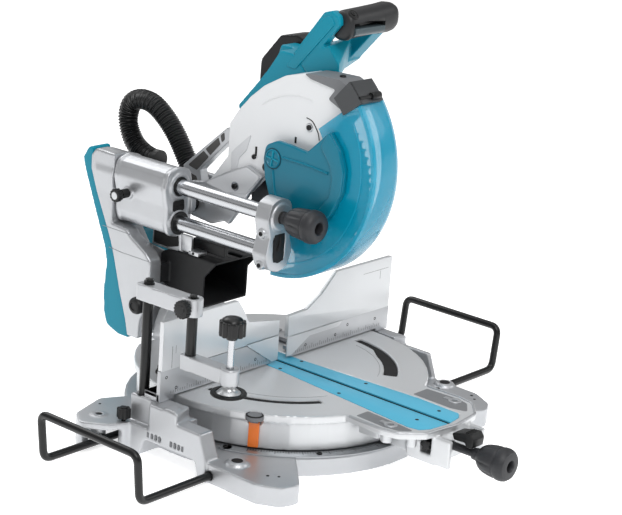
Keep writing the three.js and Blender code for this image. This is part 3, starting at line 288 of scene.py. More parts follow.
def filleted(points, rad, n=6):
    P3 = [Vector(p) for p in points]
    out = [P3[0]]
    for i in range(1, len(P3) - 1):
        s = P3[i] + (P3[i - 1] - P3[i]).normalized() * rad
        e = P3[i] + (P3[i + 1] - P3[i]).normalized() * rad
        for k in range(n + 1):
            f = k / n
            out.append((1 - f) ** 2 * s + 2 * f * (1 - f) * P3[i] + f * f * e)
    out.append(P3[-1])
    return out

def catmull(points, n):
    P3 = [Vector(p) for p in points]
    P3 = [P3[0] * 2 - P3[1]] + P3 + [P3[-1] * 2 - P3[-2]]
    out = []
    for i in range(1, len(P3) - 2):
        for k in range(n):
            t = k / n
            a, b, c, e = P3[i - 1], P3[i], P3[i + 1], P3[i + 2]
            out.append(0.5 * (2 * b + (c - a) * t + (2 * a - 5 * b + 4 * c - e) * t * t + (3 * b - a - 3 * c + e) * t ** 3))
    out.append(P3[-2])
    return out

def even(points, step):
    """resample a polyline at an even step"""
    out, acc = [points[0].copy()], 0.0
    for a, b in zip(points, points[1:]):
        L = (b - a).length
        while acc + L >= step:
            f = (step - acc) / L
            a = a + (b - a) * f
            out.append(a.copy()); L = (b - a).length; acc = 0.0
        acc += L
    return out

def arc2(c, rr, d0, d1, n):
    return [(c[0] + rr * cos(radians(d0 + (d1 - d0) * i / n)), c[1] + rr * sin(radians(d0 + (d1 - d0) * i / n))) for i in range(n + 1)]

def finish(bm, name, mat, body, nodes=(), smooth=32, sub=0):
    for v in bm.verts:
        v.co = P(*v.co)
    me = bpy.data.meshes.new(name)
    bm.to_mesh(me); bm.free()
    ob = bpy.data.objects.new(name, me)
    scene.collection.objects.link(ob)
    me.materials.append(M[mat] if isinstance(mat, str) else mat)
    me.shade_smooth()
    me.set_sharp_from_angle(angle=radians(smooth))
    if sub:
        md = ob.modifiers.new("sub", "SUBSURF"); md.levels = md.render_levels = sub
    if body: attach(ob, body)
    if nodes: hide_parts(*nodes)
    return ob

def B():
    return bmesh.new()

def lobed(cx, cy, rr, depth, n, per=8):
    out = []
    for i in range(n * per):
        t = 2 * pi * i / (n * per)
        q = rr - depth * (0.5 - 0.5 * cos(n * t)) ** 1.5
        out.append((cx + q * cos(t), cy + q * sin(t)))
    return out

def cad_copy(*nodes):
    """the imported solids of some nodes, as a bmesh in saw coordinates"""
    bm = B()
    for n in nodes:
        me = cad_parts[n].data
        old = len(bm.verts)
        bm.from_mesh(me)
    for v in bm.verts:
        v.co = Vector((v.co.x * 1000, v.co.y * 1000 - Y_SHIFT, v.co.z * 1000 - TABLE_H))
    bmesh.ops.remove_doubles(bm, verts=bm.verts, dist=0.01)
    return bm

def cast(bm, name, mat, body, nodes=(), voxel=1.8, smooth=4, keep=0.3, sharp=40):
    """joins and rounds a rough solid the way a casting is rounded"""
    ob = finish(bm, name, mat, body)
    md = ob.modifiers.new("r", "REMESH"); md.mode = "VOXEL"; md.voxel_size = voxel / 1000 * 1
    if smooth:
        ms = ob.modifiers.new("s", "SMOOTH"); ms.iterations = smooth; ms.factor = 0.5
    if keep < 1:
        dc = ob.modifiers.new("d", "DECIMATE"); dc.ratio = keep
    dg = bpy.context.evaluated_depsgraph_get()
    me = bpy.data.meshes.new_from_object(ob.evaluated_get(dg))
    ob.modifiers.clear()
    old = ob.data
    ob.data = me
    me.name = name
    bpy.data.meshes.remove(old)
    me.materials.clear(); me.materials.append(M[mat])
    me.shade_smooth()
    me.set_sharp_from_angle(angle=radians(sharp))
    if nodes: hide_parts(*nodes)
    return ob

def screw(bm, a, dr, rr, h, hexr=None):
    """socket head: rounded cylinder with a sunk hexagon"""
    hexr = hexr or rr * 0.5
    a, dr = Vector(a), Vector(dr).normalized()
    lathe(bm, [(0, 0), (rr, 0), (rr, h * 0.8), (rr * 0.9, h), (hexr * 1.05, h), (hexr, h * 0.45), (0, h * 0.45)], a, dr, 20)
    return bm

# ================================================================== base
bm = cad_copy("base_casting")
for s in (-1, 1):
    # rounded pads and ribs that the castings carry
    lathe(bm, [(0, 0), (17, 0), (17, 3), (15.5, 5.5), (13, 6.5), (0, 6.5)], (s * 255, -143, -61), (0, 0, 1), 32)
    box(bm, s * 262 - 15, s * 262 + 15, 22, 40, -8, -3.2)
# join and round the casting with its pads
base = cast(bm, "base_shell", "cast", "base", ("base_casting",), voxel=1.9, smooth=5, keep=0.32)

bm = B()   # painted shade: dark discs in the bolt and screw holes
for s in (-1, 1):
    lathe(bm, [(0, 0), (8.8, 0), (8.8, 0.5), (0, 0.5)], (s * 255, -143, -54.8), (0, 0, 1), 32)
    lathe(bm, [(0, 0), (4.6, 0), (4.6, 0.5), (0, 0.5)], (s * 304, 100, -44.2), (0, 0, 1), 24)
    lathe(bm, [(0, 0), (2.2, 0), (2.2, 0.5), (0, 0.5)], (s * 273, 131, -45.2), (0, 0, 1), 16)
    lathe(bm, [(0, 0), (2.6, 0), (2.6, 0.5), (0, 0.5)], (s * 252, -201, -60.2), (0, 0, 1), 16)
    lathe(bm, [(0, 0), (2.2, 0), (2.2, 0.5), (0, 0.5)], (s * 242, -214, -60.2), (0, 0, 1), 16)
finish(bm, "base_hole_painted_shade", "dark", "base")
bm = B()
for s, face in ((-1, 290), (1, 272)):      # rows of small slots in the wing's end, drawn as thin grey strips: painted shade in the slots
    for y in (8, 0, -8, -16, -40, -48, -56, -64):
        box(bm, s * face - 0.35, s * face + 0.35, y - 2, y + 2, -57, -49)
finish(bm, "wing_end_slot_shade", "midgrey", "base")

# bolt seats: raised rim round each bench bolt hole
bm = B()
for s in (-1, 1):
    lathe(bm, [(9, 0), (13, 0), (13, 1.6), (12.3, 2.2), (9.8, 2.2), (9, 1.6), (9, 0)], (s * 255, -143, -56.4), (0, 0, 1), 40)
    lathe(bm, [(5.5, 0), (9, 0), (9, 1.2), (8.4, 1.7), (6.2, 1.7), (5.5, 1.2), (5.5, 0)], (s * 304, 100, -44.8), (0, 0, 1), 32)
finish(bm, "bolt_seat_rims", "cast", "base", ())

# mitre scale: plate with a rolled edge, degree marks and screws
bm = B()
prof = [(231.5, -60.7), (231.5, -58.6), (232.2, -58.0), (250.2, -58.0), (251, -58.6), (251, -60.7), (231.5, -60.7)]
def lathe_z(bm, prof, a0, a1, seg):
    return lathe(bm, prof, (0, 0, 0), (0, 0, 1), seg, a0, a1)
_, E1, E2 = basis((0, 0, 1))
def ang(x, y):     # angle of a direction in the lathe's own basis
    v = Vector((x, y, 0))
    return atan2(v.dot(E2), v.dot(E1))
mid = ang(0, -1)
lathe_z(bm, prof, mid - radians(68), mid + radians(68), 120)
for e in (-1, 1):
    a = radians(-90 + e * 68)
    rod(bm, (241.2 * cos(a), 241.2 * sin(a), -60.6), (241.2 * cos(a), 241.2 * sin(a), -58.0), 9.7, seg=32)
finish(bm, "scale_plate", "scale", "base", ("mitre_scale_plate",), smooth=40)
bm = B()
for k in range(-60, 61):
    a = radians(-90 + k)
    L_ = 10.5 if k % 10 == 0 else 7.5 if k % 5 == 0 else 5
    w = 0.55 if k % 5 == 0 else 0.35
    c, s_ = Vector((cos(a), sin(a), 0)), Vector((-sin(a), cos(a), 0))
    q = [c * 233.5 - s_ * w, c * 233.5 + s_ * w, c * (233.5 + L_) + s_ * w, c * (233.5 + L_) - s_ * w]
    prism(bm, "z", [(v.x, v.y) for v in q], -58.2, -57.75)
finish(bm, "scale_marks", "mark", "base", ())
bm = B()
for deg in (-158, -124, -92.5, -58, -24):
    a = radians(deg)
    screw(bm, (241.5 * cos(a), 241.5 * sin(a), -58.2), (0, 0, 1), 4.2, 2.6)
finish(bm, "scale_screws", "black", "base", ())

bm = B()
lathe(bm, [(0, 0), (17, 0), (18, 1), (18, 2.7), (9.9, 2.7), (9.9, 66.5), (9, 67), (0, 67)], (0, 0, -87), (0, 0, 1), 40)
finish(bm, "table_bolt", "steel", "base", ("table_centre_bolt",))

# wire supports
for s, n in ((-1, "left"), (1, "right")):
    bm = B()
    path = filleted([(s * 236, -117, -79), (s * 429, -117, -79), (s * 437, -117, -4.5), (s * 437, 84, -4.5), (s * 429, 84, -79), (s * 236, 84, -79)], 15, 8)
    sweep(bm, path, 6.1, 20)
    finish(bm, "wire_support_" + n, "blacksteel", "support_" + n, ("work_support_" + n,), smooth=60)
    bm = B()
    rod(bm, (s * 291, 60, -71), (s * 291, 60, -40), 3.2)
    prism(bm, "z", lobed(s * 291, 60, 11, 2.2, 6), -41, -25, 1.6, 3)
    lathe(bm, [(0, 0), (6, 0), (5.5, 1.6), (0, 2)], (s * 291, 60, -25.2), (0, 0, 1), 24)
    finish(bm, "support_knob_" + n, "black", "support_lock_" + n, ("support_lock_screw_" + n,))

# ------------------------------------------------------------------ fence
bm = B()
lowL = [(-275, -3.7), (-243.5, -3.7), (-243.5, 2), (-24, 2), (-24, 4.5), (-84, 43.5), (-275, 45.5)]
lowR = [(275, -3.7), (243.5, -3.7), (243.5, 2), (22, 2), (22, 4.5), (66, 28.5), (141, 28.5), (148, 36.5), (275, 36.5)]
prism(bm, "y", lowL, 2.3, 9, 0.5, 2)
prism(bm, "y", lowR, 2.3, 9, 0.5, 2)
for s in (-1, 1):
    a, b = (-275, -40) if s < 0 else (40, 275)
    box(bm, a, b, 8, 34, 2, 9, 1.2)
    a, b = (-275, -243.5) if s < 0 else (243.5, 275)
    box(bm, a, b, 3, 34, -3.7, 9, 1.2)
    a, b = (-94, -68) if s < 0 else (68, 94)
    box(bm, a, b, 28, 95, 2, 9, 1.5)
    a, b = (-245, -219) if s < 0 else (219, 245)
    box(bm, a, b, 19, 25, 5, 42, 1.5)
    for x in (60, 115, 170, 215):      # ribs behind the wall
        prism(bm, "x", [(8.5, 8), (30, 8), (8.5, 26)], s * x - 2, s * x + 2, 0.6)
box(bm, -94, 94, 82, 95, 2, 12, 2)
finish(bm, "fence_body", "cast", "base", ("guide_fence",))

for s, n, poly, tail in (
    (-1, "left", [(-275, 46.2, 1), (-11.3, 46.2), (-11, 72, 2), (-85, 85, 6), (-99, 108, 6), (-112, 125, 4), (-275, 125, 2)],
     [(-87, 48), (-84.3, 44.2, 3), (-24.5, 5.4, 2), (-11, 5.4), (-11, 48)]),
    (1, "right", [(11.3, 37.4), (271, 37.4, 1), (271, 126.5, 2), (125, 127, 4), (91, 96, 6), (55, 76, 6), (11, 74, 2)],
     [(11, 39), (11, 5.4), (22.5, 5.4, 2), (66, 29.4, 4), (140.6, 29.4, 3), (148.6, 39)])):
    bm = B()
    prism(bm, "y", rounded(poly), 0, 8, 0.6, 2)
    prism(bm, "y", rounded(tail), 0, 2.0)
    a, b = (-262, -120) if s < 0 else (120, 262)
    box(bm, a, b, 7, 16, 74, 84, 1)
    a, b = (-236, -120) if s < 0 else (120, 236)
    box(bm, a, b, 9.6, 16, 22, 84, 1)
    for x in ((-250, -200, -150) if s < 0 else (150, 200, 250)):
        box(bm, x - 2, x + 2, 7.5, 14, 84, 118, 0.8)
    finish(bm, "sub_fence_plate_" + n, "table", "fence_" + n, ("sub_fence_" + n,))
    bm = B()   # engraved lines
    if s < 0:
        box(bm, -254.6, -254.0, -0.08, 0.5, 48, 83)
        box(bm, -247, -246.5, -0.08, 0.5, 70, 83)
    else:
        box(bm, 196, 262, -0.08, 0.5, 108.2, 108.7)
        box(bm, 241, 241.6, -0.08, 0.5, 92, 107)
    finish(bm, "sub_fence_lines_" + n, "mark", "fence_" + n, ())
    bm = B()
    rod(bm, (s * 232, 16.6, 27), (s * 232, 32, 27), 4)
    prism(bm, "y", lobed(s * 232, 27, 12.5, 2.4, 6), 30, 44, 1.6, 3)
    finish(bm, "fence_knob_" + n, "black", "fence_lock_" + n, ("fence_lock_screw_" + n,))

bm = B()   # ruler marks and screws on the fixed fence
for s in (-1, 1):
    for k in range(0, 44):
        x = 36 + 5 * k
        if x > 252: break
        top = 43 if s < 0 else 27
        h = 8 if k % 4 == 0 else 4.5
        z0 = 6
        if s < 0 and x < 84: h = min(h, max(2, (x - 24) * 0.6))
        box(bm, s * x - 0.3, s * x + 0.3, 2.22, 2.8, z0, z0 + h)
finish(bm, "fence_marks", "mark", "base", ())
bm = B()
for s, pts in ((-1, [(-262, 34), (-240, 13), (-120, 33), (-62, 17)]), (1, [(135, 15), (239, 21), (60, 14), (166, 26)])):
    for x, z in pts:
        screw(bm, (x, 2.8, z), (0, -1, 0), 2.6, 0.7, 1.4)
finish(bm, "fence_screws", "dark", "base", ())

# ================================================================== turntable
bm = cad_copy("turntable_casting")
for s in (-1, 1):
    rod(bm, (s * 60, -313, -29), (s * 60, -313, -6), 8, seg=24)
    box(bm, s * 74 - 3, s * 74 + 3, -262, -225, -30, -6)
turn = cast(bm, "turntable_shell", "table", "turntable", ("turntable_casting",), voxel=1.7, smooth=3, keep=0.34, sharp=38)

bm = B()   # shaded floors of the table's curved slots
prism(bm, "z", arc2((0, 0), 182.7, 182.3, 241.2, 22) + arc2((0, 0), 170.3, 241.2, 182.3, 22), -14, -2.2)
prism(bm, "z", arc2((0, 0), 186.6, -3.5, -59.5, 20) + arc2((0, 0), 165.4, -59.5, -30, 8) + arc2((0, 0), 173.4, -20, -3.5, 6), -14, -2.6)
finish(bm, "table_slot_floors", "dark", "turntable", ())

bm = B()   # painted shade: thin plates in the darker aluminium for the sunk fields of the arm plate
prism(bm, "z", rounded([(-88, -227, 3), (-91, -283, 18), (-86, -306, 14), (-69, -324, 5), (-66, -300, 3), (-60, -227, 3)]), -1, 0.12)
prism(bm, "z", rounded([(88, -227, 3), (91, -283, 18), (86, -306, 14), (58, -327, 5), (50, -300, 3), (52, -227, 3)]), -1, 0.12)
finish(bm, "arm_plate_field_shade", "cast_painted_shade", "turntable", (), smooth=50)

bm = B()   # rounded raised rim of the arm plate
rim = rounded([(97, -222), (99.5, -283, 22), (93.5, -311, 18), (61, -339.5, 16), (0, -347.5, 40), (-61, -339.5, 16), (-93.5, -311, 18), (-99.5, -283, 22), (-97, -222)], 8)
sweep(bm, [(x, y, -0.4) for x, y in rim], 2.4, 12)
for x, y in ((-76, -284), (80, -287)):    # keyhole pads
    lathe(bm, [(5.2, -1), (10.5, -1), (10.5, 0.7), (9.6, 1.5), (6, 1.5), (5.2, 0.9), (5.2, -1)], (x, y, 0), (0, 0, 1), 32)
    box(bm, x - 4, x + 4, y + 9, y + 20, -1, 1.2, 0.9)
finish(bm, "arm_plate_rim", "cast", "turntable", (), smooth=50)
bm = B()
for x, y in ((-76, -284), (80, -287)):
    lathe(bm, [(0, -3), (5.1, -3), (5.1, -0.6), (0, -0.6)], (x, y, 0), (0, 0, 1), 24)
lathe(bm, [(0, -1), (3.2, -1), (3.2, 0.12), (0, 0.12)], (104, -236, 0), (0, 0, 1), 20)
finish(bm, "arm_plate_holes", "dark", "turntable", ())

# a thin line of darker aluminium along an arc each side of the boards: painted shade for the step at the edge of the
# table's raised land
bm = B()
for a0, a1 in ((-170, -112), (-64, -10)):
    pts = arc2((0, 0), 158, a0, a1, 40)
    sweep(bm, [(x, y, 0.0) for x, y in pts], 0.35, 6)
finish(bm, "table_step_painted_shade", "cast_painted_shade", "turntable", (), smooth=60)

# kerf boards with bevelled edges and sunk screws
for n, pts in (("left", [(-4, 58, 1), (-30, 58, 2), (-30, -8, 6), (-61, -305, 6), (-57, -322, 5), (-42, -331, 5), (-4, -335.5, 1)]),
               ("right", [(4, 58, 1), (4, -335.5, 1), (30, -331, 5), (43, -322, 5), (46, -245, 8), (31, -12, 8), (31, 58, 2)])):
    bm = B()
    prism(bm, "z", rounded(pts), -3, -0.3, 0.6, 2)
    finish(bm, "kerf_board_body_" + n, "board", "turntable", ("kerf_board_" + n,))
bm = B()
for x, y in ((-27.5, -296), (27.5, -296), (-26, -20), (26, -20), (-36, -150), (30, -150)):
    lathe(bm, [(0, 0), (3.0, 0), (3.0, 0.35), (0, 0.35)], (x, y, -0.45), (0, 0, 1), 20)
finish(bm, "kerf_board_screws", "mark", "turntable", ())
bm = B()
for x, y in ((-27.5, -296), (27.5, -296), (-26, -20), (26, -20)):
    box(bm, x - 2.6, x + 2.6, y - 0.6, y + 0.6, -0.3, -0.05)
for a, b in ((-3.9, -2.7), (2.7, 3.9)):
    box(bm, a, b, -335, 57, -3.4, -2.6)
finish(bm, "kerf_board_slots", "dark", "turntable", ())

# orange stop tab under a half-round grey clip
ang_t = degrees(atan2(-124, -201))
rot = Matrix.Rotation(radians(ang_t + 90), 3, "Z")
bm = B()
prism(bm, "y", rounded([(-8, -54, 1.5), (8, -54, 1.5), (8, -14, 1), (-8, -14, 1)]), -236.5, -230.5, 1.0, 2)
bmesh.ops.rotate(bm, verts=bm.verts, cent=(0, 0, 0), matrix=rot)
finish(bm, "stop_tab", "orange", "turntable", ("mitre_stop_tab",))
bm = B()
lathe(bm, [(0, -9.5), (13.6, -9.5), (13.6, -3.4), (12.6, -2.4), (0, -2.4)], (-199, -122.8, 0), (0, 0, 1), 40)
box(bm, -6, 6, -238, -228, -15, -4, 1)
for v in [v for v in bm.verts if v.co.y < -200 and abs(v.co.x) < 7]:
    v.co = rot @ v.co
finish(bm, "stop_tab_clip", "midgrey", "turntable", (), smooth=45)
bm = B()
lathe(bm, [(11.2, -3), (13.7, -3), (13.7, -1.7), (11.2, -1.7), (11.2, -3)], (-199, -122.8, 0), (0, 0, 1), 40)
finish(bm, "stop_tab_ring", "dark", "turntable", (), smooth=45)

bm = B()   # pointer over the scale
prism(bm, "z", rounded([(-8, -231, 1), (-8, -242, 1), (0, -250, 1), (8, -242, 1), (8, -231, 1)]), -57.6, -56.2, 0.4, 2)
finish(bm, "scale_pointer", "zinc", "turntable", ("mitre_pointer",))

bm = B()
rod(bm, (0, 192, 0), (0, 262, 0), 12.4, seg=40)
prism(bm, "y", [(19 * cos(radians(60 * k)), 19 * sin(radians(60 * k))) for k in range(6)], 259, 265, 1.0, 2)
finish(bm, "bevel_shaft", "steel", "turntable", ("bevel_pivot_shaft",))

def grip(bm, o, dr, prof, ribs, depth, seg=96):
    """a handle turned from prof [(r, h, rib share)], with long soft ribs"""
    dr, e1, e2 = basis(dr)
    o = Vector(o)
    rings = []
    for rr, h, share in prof:
        if rr == 0:
            rings.append([bm.verts.new(o + dr * h)]); continue
        ring = []
        for k in range(seg):
            t = 2 * pi * k / seg
            q = rr - depth * share * (0.5 + 0.5 * cos(ribs * t)) ** 6
            ring.append(bm.verts.new(o + dr * h + (e1 * cos(t) + e2 * sin(t)) * q))
        rings.append(ring)
    faces = []
    for A, B_ in zip(rings, rings[1:]):
        for k in range(seg):
            vs = [A[k % len(A)], A[(k + 1) % len(A)], B_[(k + 1) % len(B_)], B_[k % len(B_)]]
            vs = [v for i, v in enumerate(vs) if v not in vs[:i]]
            if len(vs) > 2: faces.append(bm.faces.new(vs))
    bmesh.ops.recalc_face_normals(bm, faces=faces)

bm = B()
rod(bm, (0, -387, -33), (0, -306, -33), 6.4, seg=32)
grip(bm, (0, -386, -33), (0, -1, 0), [(0, 0, 0), (9, 0, 0), (9.6, 5, 0), (10.4, 9, 0), (14, 12.4, 0), (18, 16.5, .2), (20.6, 21, .8), (22.6, 27, 1), (23.8, 34, 1), (24.6, 43, .6), (24.2, 45.4, .1), (23.6, 46.6, 0), (24.6, 48, 0), (25.4, 50, 0), (25.6, 56, 0), (24.2, 61, 0), (21, 65, 0), (15, 66, 0), (9.8, 66, 0), (8.6, 64.6, 0), (8.2, 60, 0), (8.2, 48, 0), (0, 48, 0)], 10, 1.5)
finish(bm, "mitre_grip_body", "knob", "mitre_grip_body", ("mitre_grip",), smooth=40)
bm = B()
lathe(bm, [(0, 0), (8.4, 0), (8.4, 1), (0, 1)], (0, -434.5, -33), (0, -1, 0), 32)
finish(bm, "mitre_grip_bore", "dark", "mitre_grip_body", ())

bm = B()
prism(bm, "x", rounded([(-372, -2, 3), (-386, 0, 5), (-392, -8, 5), (-390, -22, 3), (-380, -22, 3), (-376, -16, 3), (-356, -17, 3), (-352, -7, 3)], 5), -14, 14, 1.6, 3)
for k in range(4):
    box(bm, -11, 11, -386 + 3.4 * k, -384.6 + 3.4 * k, -2.2, 0.3, 0.4, 1)
finish(bm, "release_lever", "black", "mitre_lever", ("mitre_release_lever",))
bm = B()
prism(bm, "x", lobed(-328, -26, 10, 3.2, 5), -46, -28, 1.5, 3)
finish(bm, "stop_knob_body", "black", "mitre_stop", ("mitre_stop_knob",))

# ================================================================== tilting arm
def pathx(x, pts):
    return [(x, a, b) for a, b in pts]

bm = cad_copy("bevel_arm")
cast(bm, "bevel_arm_casting", "cast", "bevel", ("bevel_arm",), voxel=1.7, smooth=7, keep=0.34)
# seam lines on the arm in the darker aluminium: painted shade along the seams
bm = B()
sweep(bm, pathx(-110.1, [(198, 137), (262, 137), (292, 139)]), 0.5, 8)
sweep(bm, pathx(-110.1, [(246, 172), (309, 172)]), 0.5, 8)
finish(bm, "bevel_arm_seam_shade", "cast_painted_shade", "bevel", (), smooth=60)

bm = cad_copy("arm_rear_cover")
cast(bm, "rear_cover", "teal", "bevel", ("arm_rear_cover",), voxel=2.0, smooth=9, keep=0.34)

for n, z in (("upper", 265), ("lower", 205)):
    bm = B()
    lathe(bm, [(9.5, 0), (12.0, 0), (12.5, 0.6), (12.5, 351.4), (12.0, 352), (9.5, 352), (9.5, 0)], (-80, -42, z), (0, 1, 0), 72)
    finish(bm, "slide_pipe_" + n, "chrome", "bevel", (n + "_slide_pipe",))

bm = cad_copy("pipe_end_clamp")
lathe(bm, [(8.5, 0), (22, 0), (22, 3.2), (19, 4), (8.5, 4), (8.5, 0)], (-80, -45, 265), (0, -1, 0), 40)
for z in (240, 190):
    rod(bm, (-98, -32, z), (-108.5, -32, z), 8.5, 7, seg=24)
cast(bm, "pipe_clamp", "cast", "bevel", ("pipe_end_clamp",), voxel=1.1, smooth=4, keep=0.3)
bm = B()
for z in (240, 190):
    screw(bm, (-108.0, -32, z), (-1, 0, 0), 3.6, 1.6, 2)
lathe(bm, [(0, 0), (12.8, 0), (12.8, 1), (0, 1)], (-80, -45, 205), (0, -1, 0), 32)
box(bm, -92, -68, -46.6, -38.5, 194, 239, 2)
sweep(bm, [(-80, -46.5, 236), (-80, -48, 224), (-84, -47.5, 212)], 2.2, 10)
finish(bm, "pipe_clamp_recess", "dark", "bevel", ())

bm = B()
rod(bm, (-80, -60, 265), (-80, 336, 265), 5, seg=24)
grip(bm, (-80, -53, 265), (0, -1, 0), [(0, 0, 0), (10, 0, 0), (10.6, 5, 0), (12, 8.5, 0), (16, 12, 0), (19.5, 16.5, .2), (21.6, 22, .9), (23, 29, 1), (24, 38, 1), (24.6, 46, .6), (24.2, 48.4, .1), (23.8, 49.6, 0), (25, 51, 0), (26, 53, 0), (26.2, 59, 0), (24.8, 64.4, 0), (21, 69, 0), (16, 70, 0), (11, 70, 0), (9.6, 68.8, 0), (9, 64, 0), (9, 54, 0), (0, 54, 0)], 10, 1.5)
finish(bm, "bevel_knob", "knob", "bevel_lock", ("bevel_lock_knob",), smooth=40)
bm = B()
lathe(bm, [(0, 0), (8.8, 0), (8.8, 1), (0, 1)], (-80, -108.5, 265), (0, -1, 0), 32)
rod(bm, (-80, -46, 265), (-80, -53.2, 265), 10.2, seg=32)
finish(bm, "bevel_knob_bore", "dark", "bevel_lock", ())
bm = B()
rod(bm, (-94, 212, 62), (-114, 212, 62), 5.4, seg=24)
lathe(bm, [(0, 0), (12, 0), (14, 2), (14.2, 4), (14.2, 12), (13, 15), (10.5, 17.4), (7, 18), (6.5, 16.5), (0, 16.5)], (-111, 212, 62), (-1, 0, 0), 40)
finish(bm, "bevel_stop_body", "black", "bevel_stop", ("bevel_stop_knob",))

bm = cad_copy("dust_chute")
sweep(bm, [(-60.2, 100.4, 147.6), (42.2, 100.4, 147.6), (42.2, 123.8, 121.5), (42.2, 123.8, 70), (-60.2, 123.8, 70), (-60.2, 123.8, 121.5)], 2.0, 8, closed=True)
for x in (-40, -20, 20):
    sweep(bm, [(x, 105, 151), (x, 200, 151)], 1.6, 8)
cast(bm, "chute", "rubber", "bevel", ("dust_chute",), voxel=1.4, smooth=10, keep=0.34)

# ================================================================== carriage
bm = cad_copy("carriage_housing")
shell = rounded([(-111.5, 262, 20), (-105.5, 289.5, 14), (-80, 296.5, 20), (-54.5, 289.5, 14), (-48.5, 262, 14), (-48.5, 205, 14), (-56.5, 185.5, 12), (-80, 180.5, 16), (-99.5, 185.5, 12), (-104.5, 205, 10), (-104.5, 232, 6)], 5)
for y0, y1 in ((170, 178), (280, 287.5)):
    prism(bm, "y", shell, y0, y1, 0)
for z, rr in ((265, 21.5), (205, 19.5)):
    lathe(bm, [(15, 0), (rr, 0), (rr, 3), (rr - 2, 4.4), (15, 4.4), (15, 0)], (-80, 171, z), (0, -1, 0), 40)
rod(bm, (-88, 258, 238), (-108, 258, 238), 10, seg=28)
carr = cast(bm, "carriage_body", "cast", "carriage", ("carriage_housing",), voxel=1.6, smooth=5, keep=0.32)
# bores stay open after the casting: dark sleeves and black wipers
for n, z in (("upper", 265), ("lower", 205)):
    bm = B()
    if n == "upper":
        lathe(bm, [(12.8, 0), (14.2, 0), (14.6, 0.4), (14.6, 28), (12.8, 28), (12.8, 0)], (-80, 165.6, z), (0, 1, 0), 48)
    else:
        lathe(bm, [(12.8, 0), (18.2, 0), (19, 0.7), (19, 3.0), (17.5, 3.7), (14.5, 3.7), (14.5, 28), (12.8, 28), (12.8, 0)], (-80, 163.4, z), (0, 1, 0), 48)
    finish(bm, "pipe_wiper_" + n, "black", "carriage", (n + "_pipe_bush",))
bm = B()     # shaded recess between the bores, its screws, and the gap round the upper pipe
prism(bm, "y", rounded([(-92, 224, 4), (-92, 242, 4), (-68, 242, 4), (-66, 224, 4)]), 169.2, 170.6)
lathe(bm, [(14.4, 0), (15.6, 0), (15.6, 0.6), (14.4, 0.6), (14.4, 0)], (-80, 166.6, 265), (0, -1, 0), 40)
for x in (-86, -73):
    screw(bm, (x, 169.4, 233), (0, -1, 0), 2.8, 1.8)
finish(bm, "carriage_recess", "dark", "carriage", ())

bm = B()
rod(bm, (-56, 185, 232), (50, 185, 232), 7.9, seg=40)
prism(bm, "x", [(185 + 12 * cos(radians(60 * k)), 232 + 12 * sin(radians(60 * k))) for k in range(6)], 46.4, 51, 0.8, 2)
finish(bm, "head_shaft", "steel", "carriage", ("head_pivot_shaft",))
bm = B()
turns = []
for k in range(0, 6 * 24 + 1):
    t = 2 * pi * k / 24
    turns.append((-42 + 16 * k / (6 * 24.0), 185 + 17 * cos(t), 232 + 17 * sin(t)))
sweep(bm, turns, 1.3, 8)
lathe(bm, [(10.2, 0), (15, 0), (15, 19.6), (10.2, 19.6), (10.2, 0)], (-43.8, 185, 232), (1, 0, 0), 40)
finish(bm, "return_spring", "blacksteel", "carriage", ("head_return_spring",), smooth=60)
bm = B()
rod(bm, (-89, 258, 238), (-130, 258, 238), 4.5, seg=24)
lathe(bm, [(0, 0), (7.5, 0), (7.5, 13), (7, 14), (0, 14)], (-107.6, 258, 238), (-1, 0, 0), 32)
prism(bm, "x", lobed(258, 238, 11, 1.2, 12), -136.5, -126, 1.2, 3)
finish(bm, "slide_lock_body", "black", "slide_lock", ("slide_lock_screw",))
bm = B()
lathe(bm, [(0, 0), (6.4, 0), (6.4, 0.4), (5.6, 0.9), (0, 0.9)], (-136.2, 258, 238), (-1, 0, 0), 32)
finish(bm, "slide_lock_cap", "zinc", "slide_lock", ())

# painted shade: a dark plate on the web's face for its shaded inner panel
bm = B()
prism(bm, "x", rounded([(233, 180, 3), (179, 180, 4), (177, 161, 3), (201, 154, 3), (233, 155, 3)]), -67.1, -66.2)
finish(bm, "carriage_web_painted_shade", "dark", "carriage", ())
bm = B()
box(bm, -66, -61, 150, 172, 156, 183, 1.0)
box(bm, -66, -45, 134, 156, 153, 160, 1.2)
finish(bm, "stop_bracket_plate", "zinc", "carriage", ("head_stop_bracket",))
bm = B()
rod(bm, (-66.1, 145, 156.5), (-66.4, 145, 156.5), 2.4, seg=20)
finish(bm, "stop_bracket_hole", "dark", "carriage", ())
bm = B()
box(bm, -46, -36.4, 96, 166, 157, 175, 1.5, 3)
finish(bm, "stop_bracket_bar", "black", "carriage", ())

# corrugated hose from the carriage to the back of the blade case
route = even(catmull([(5, 298, 267), (5, 315, 267), (5, 337, 272), (5, 358, 284), (6, 373, 304), (7, 379, 328), (8, 372, 350), (10, 352, 360), (12, 324, 356), (15, 296, 336), (17, 272, 310), (17, 250, 280), (17, 235, 261)], 24), 0.8)
rad = [16.1 + 1.2 * sin(2 * pi * i * 0.8 / 4.4) for i in range(len(route))]
for i in range(12):
    rad[i] = 17.4; rad[-1 - i] = 17.4
bm = B()
sweep(bm, route, rad, 28)
hose = finish(bm, "corrugated_hose", "hose", None, ("dust_hose",), smooth=60)
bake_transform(hose)

# ================================================================== head
def sector(bm, prof, d0, d1, n, c=(GY, GZ)):
    """prof: closed loop of (radius, x), turned about the X axis through c, in degrees from +Y towards +Z"""
    rings = []
    for i in range(n + 1):
        t = radians(d0 + (d1 - d0) * i / n)
        rings.append([bm.verts.new((x, c[0] + rr * cos(t), c[1] + rr * sin(t))) for rr, x in prof])
    k = len(prof)
    faces = []
    for A, B_ in zip(rings, rings[1:]):
        for j in range(k):
            faces.append(bm.faces.new((A[j], A[(j + 1) % k], B_[(j + 1) % k], B_[j])))
    faces += [bm.faces.new(rings[0]), bm.faces.new(rings[-1])]
    bmesh.ops.recalc_face_normals(bm, faces=faces)
    return bm

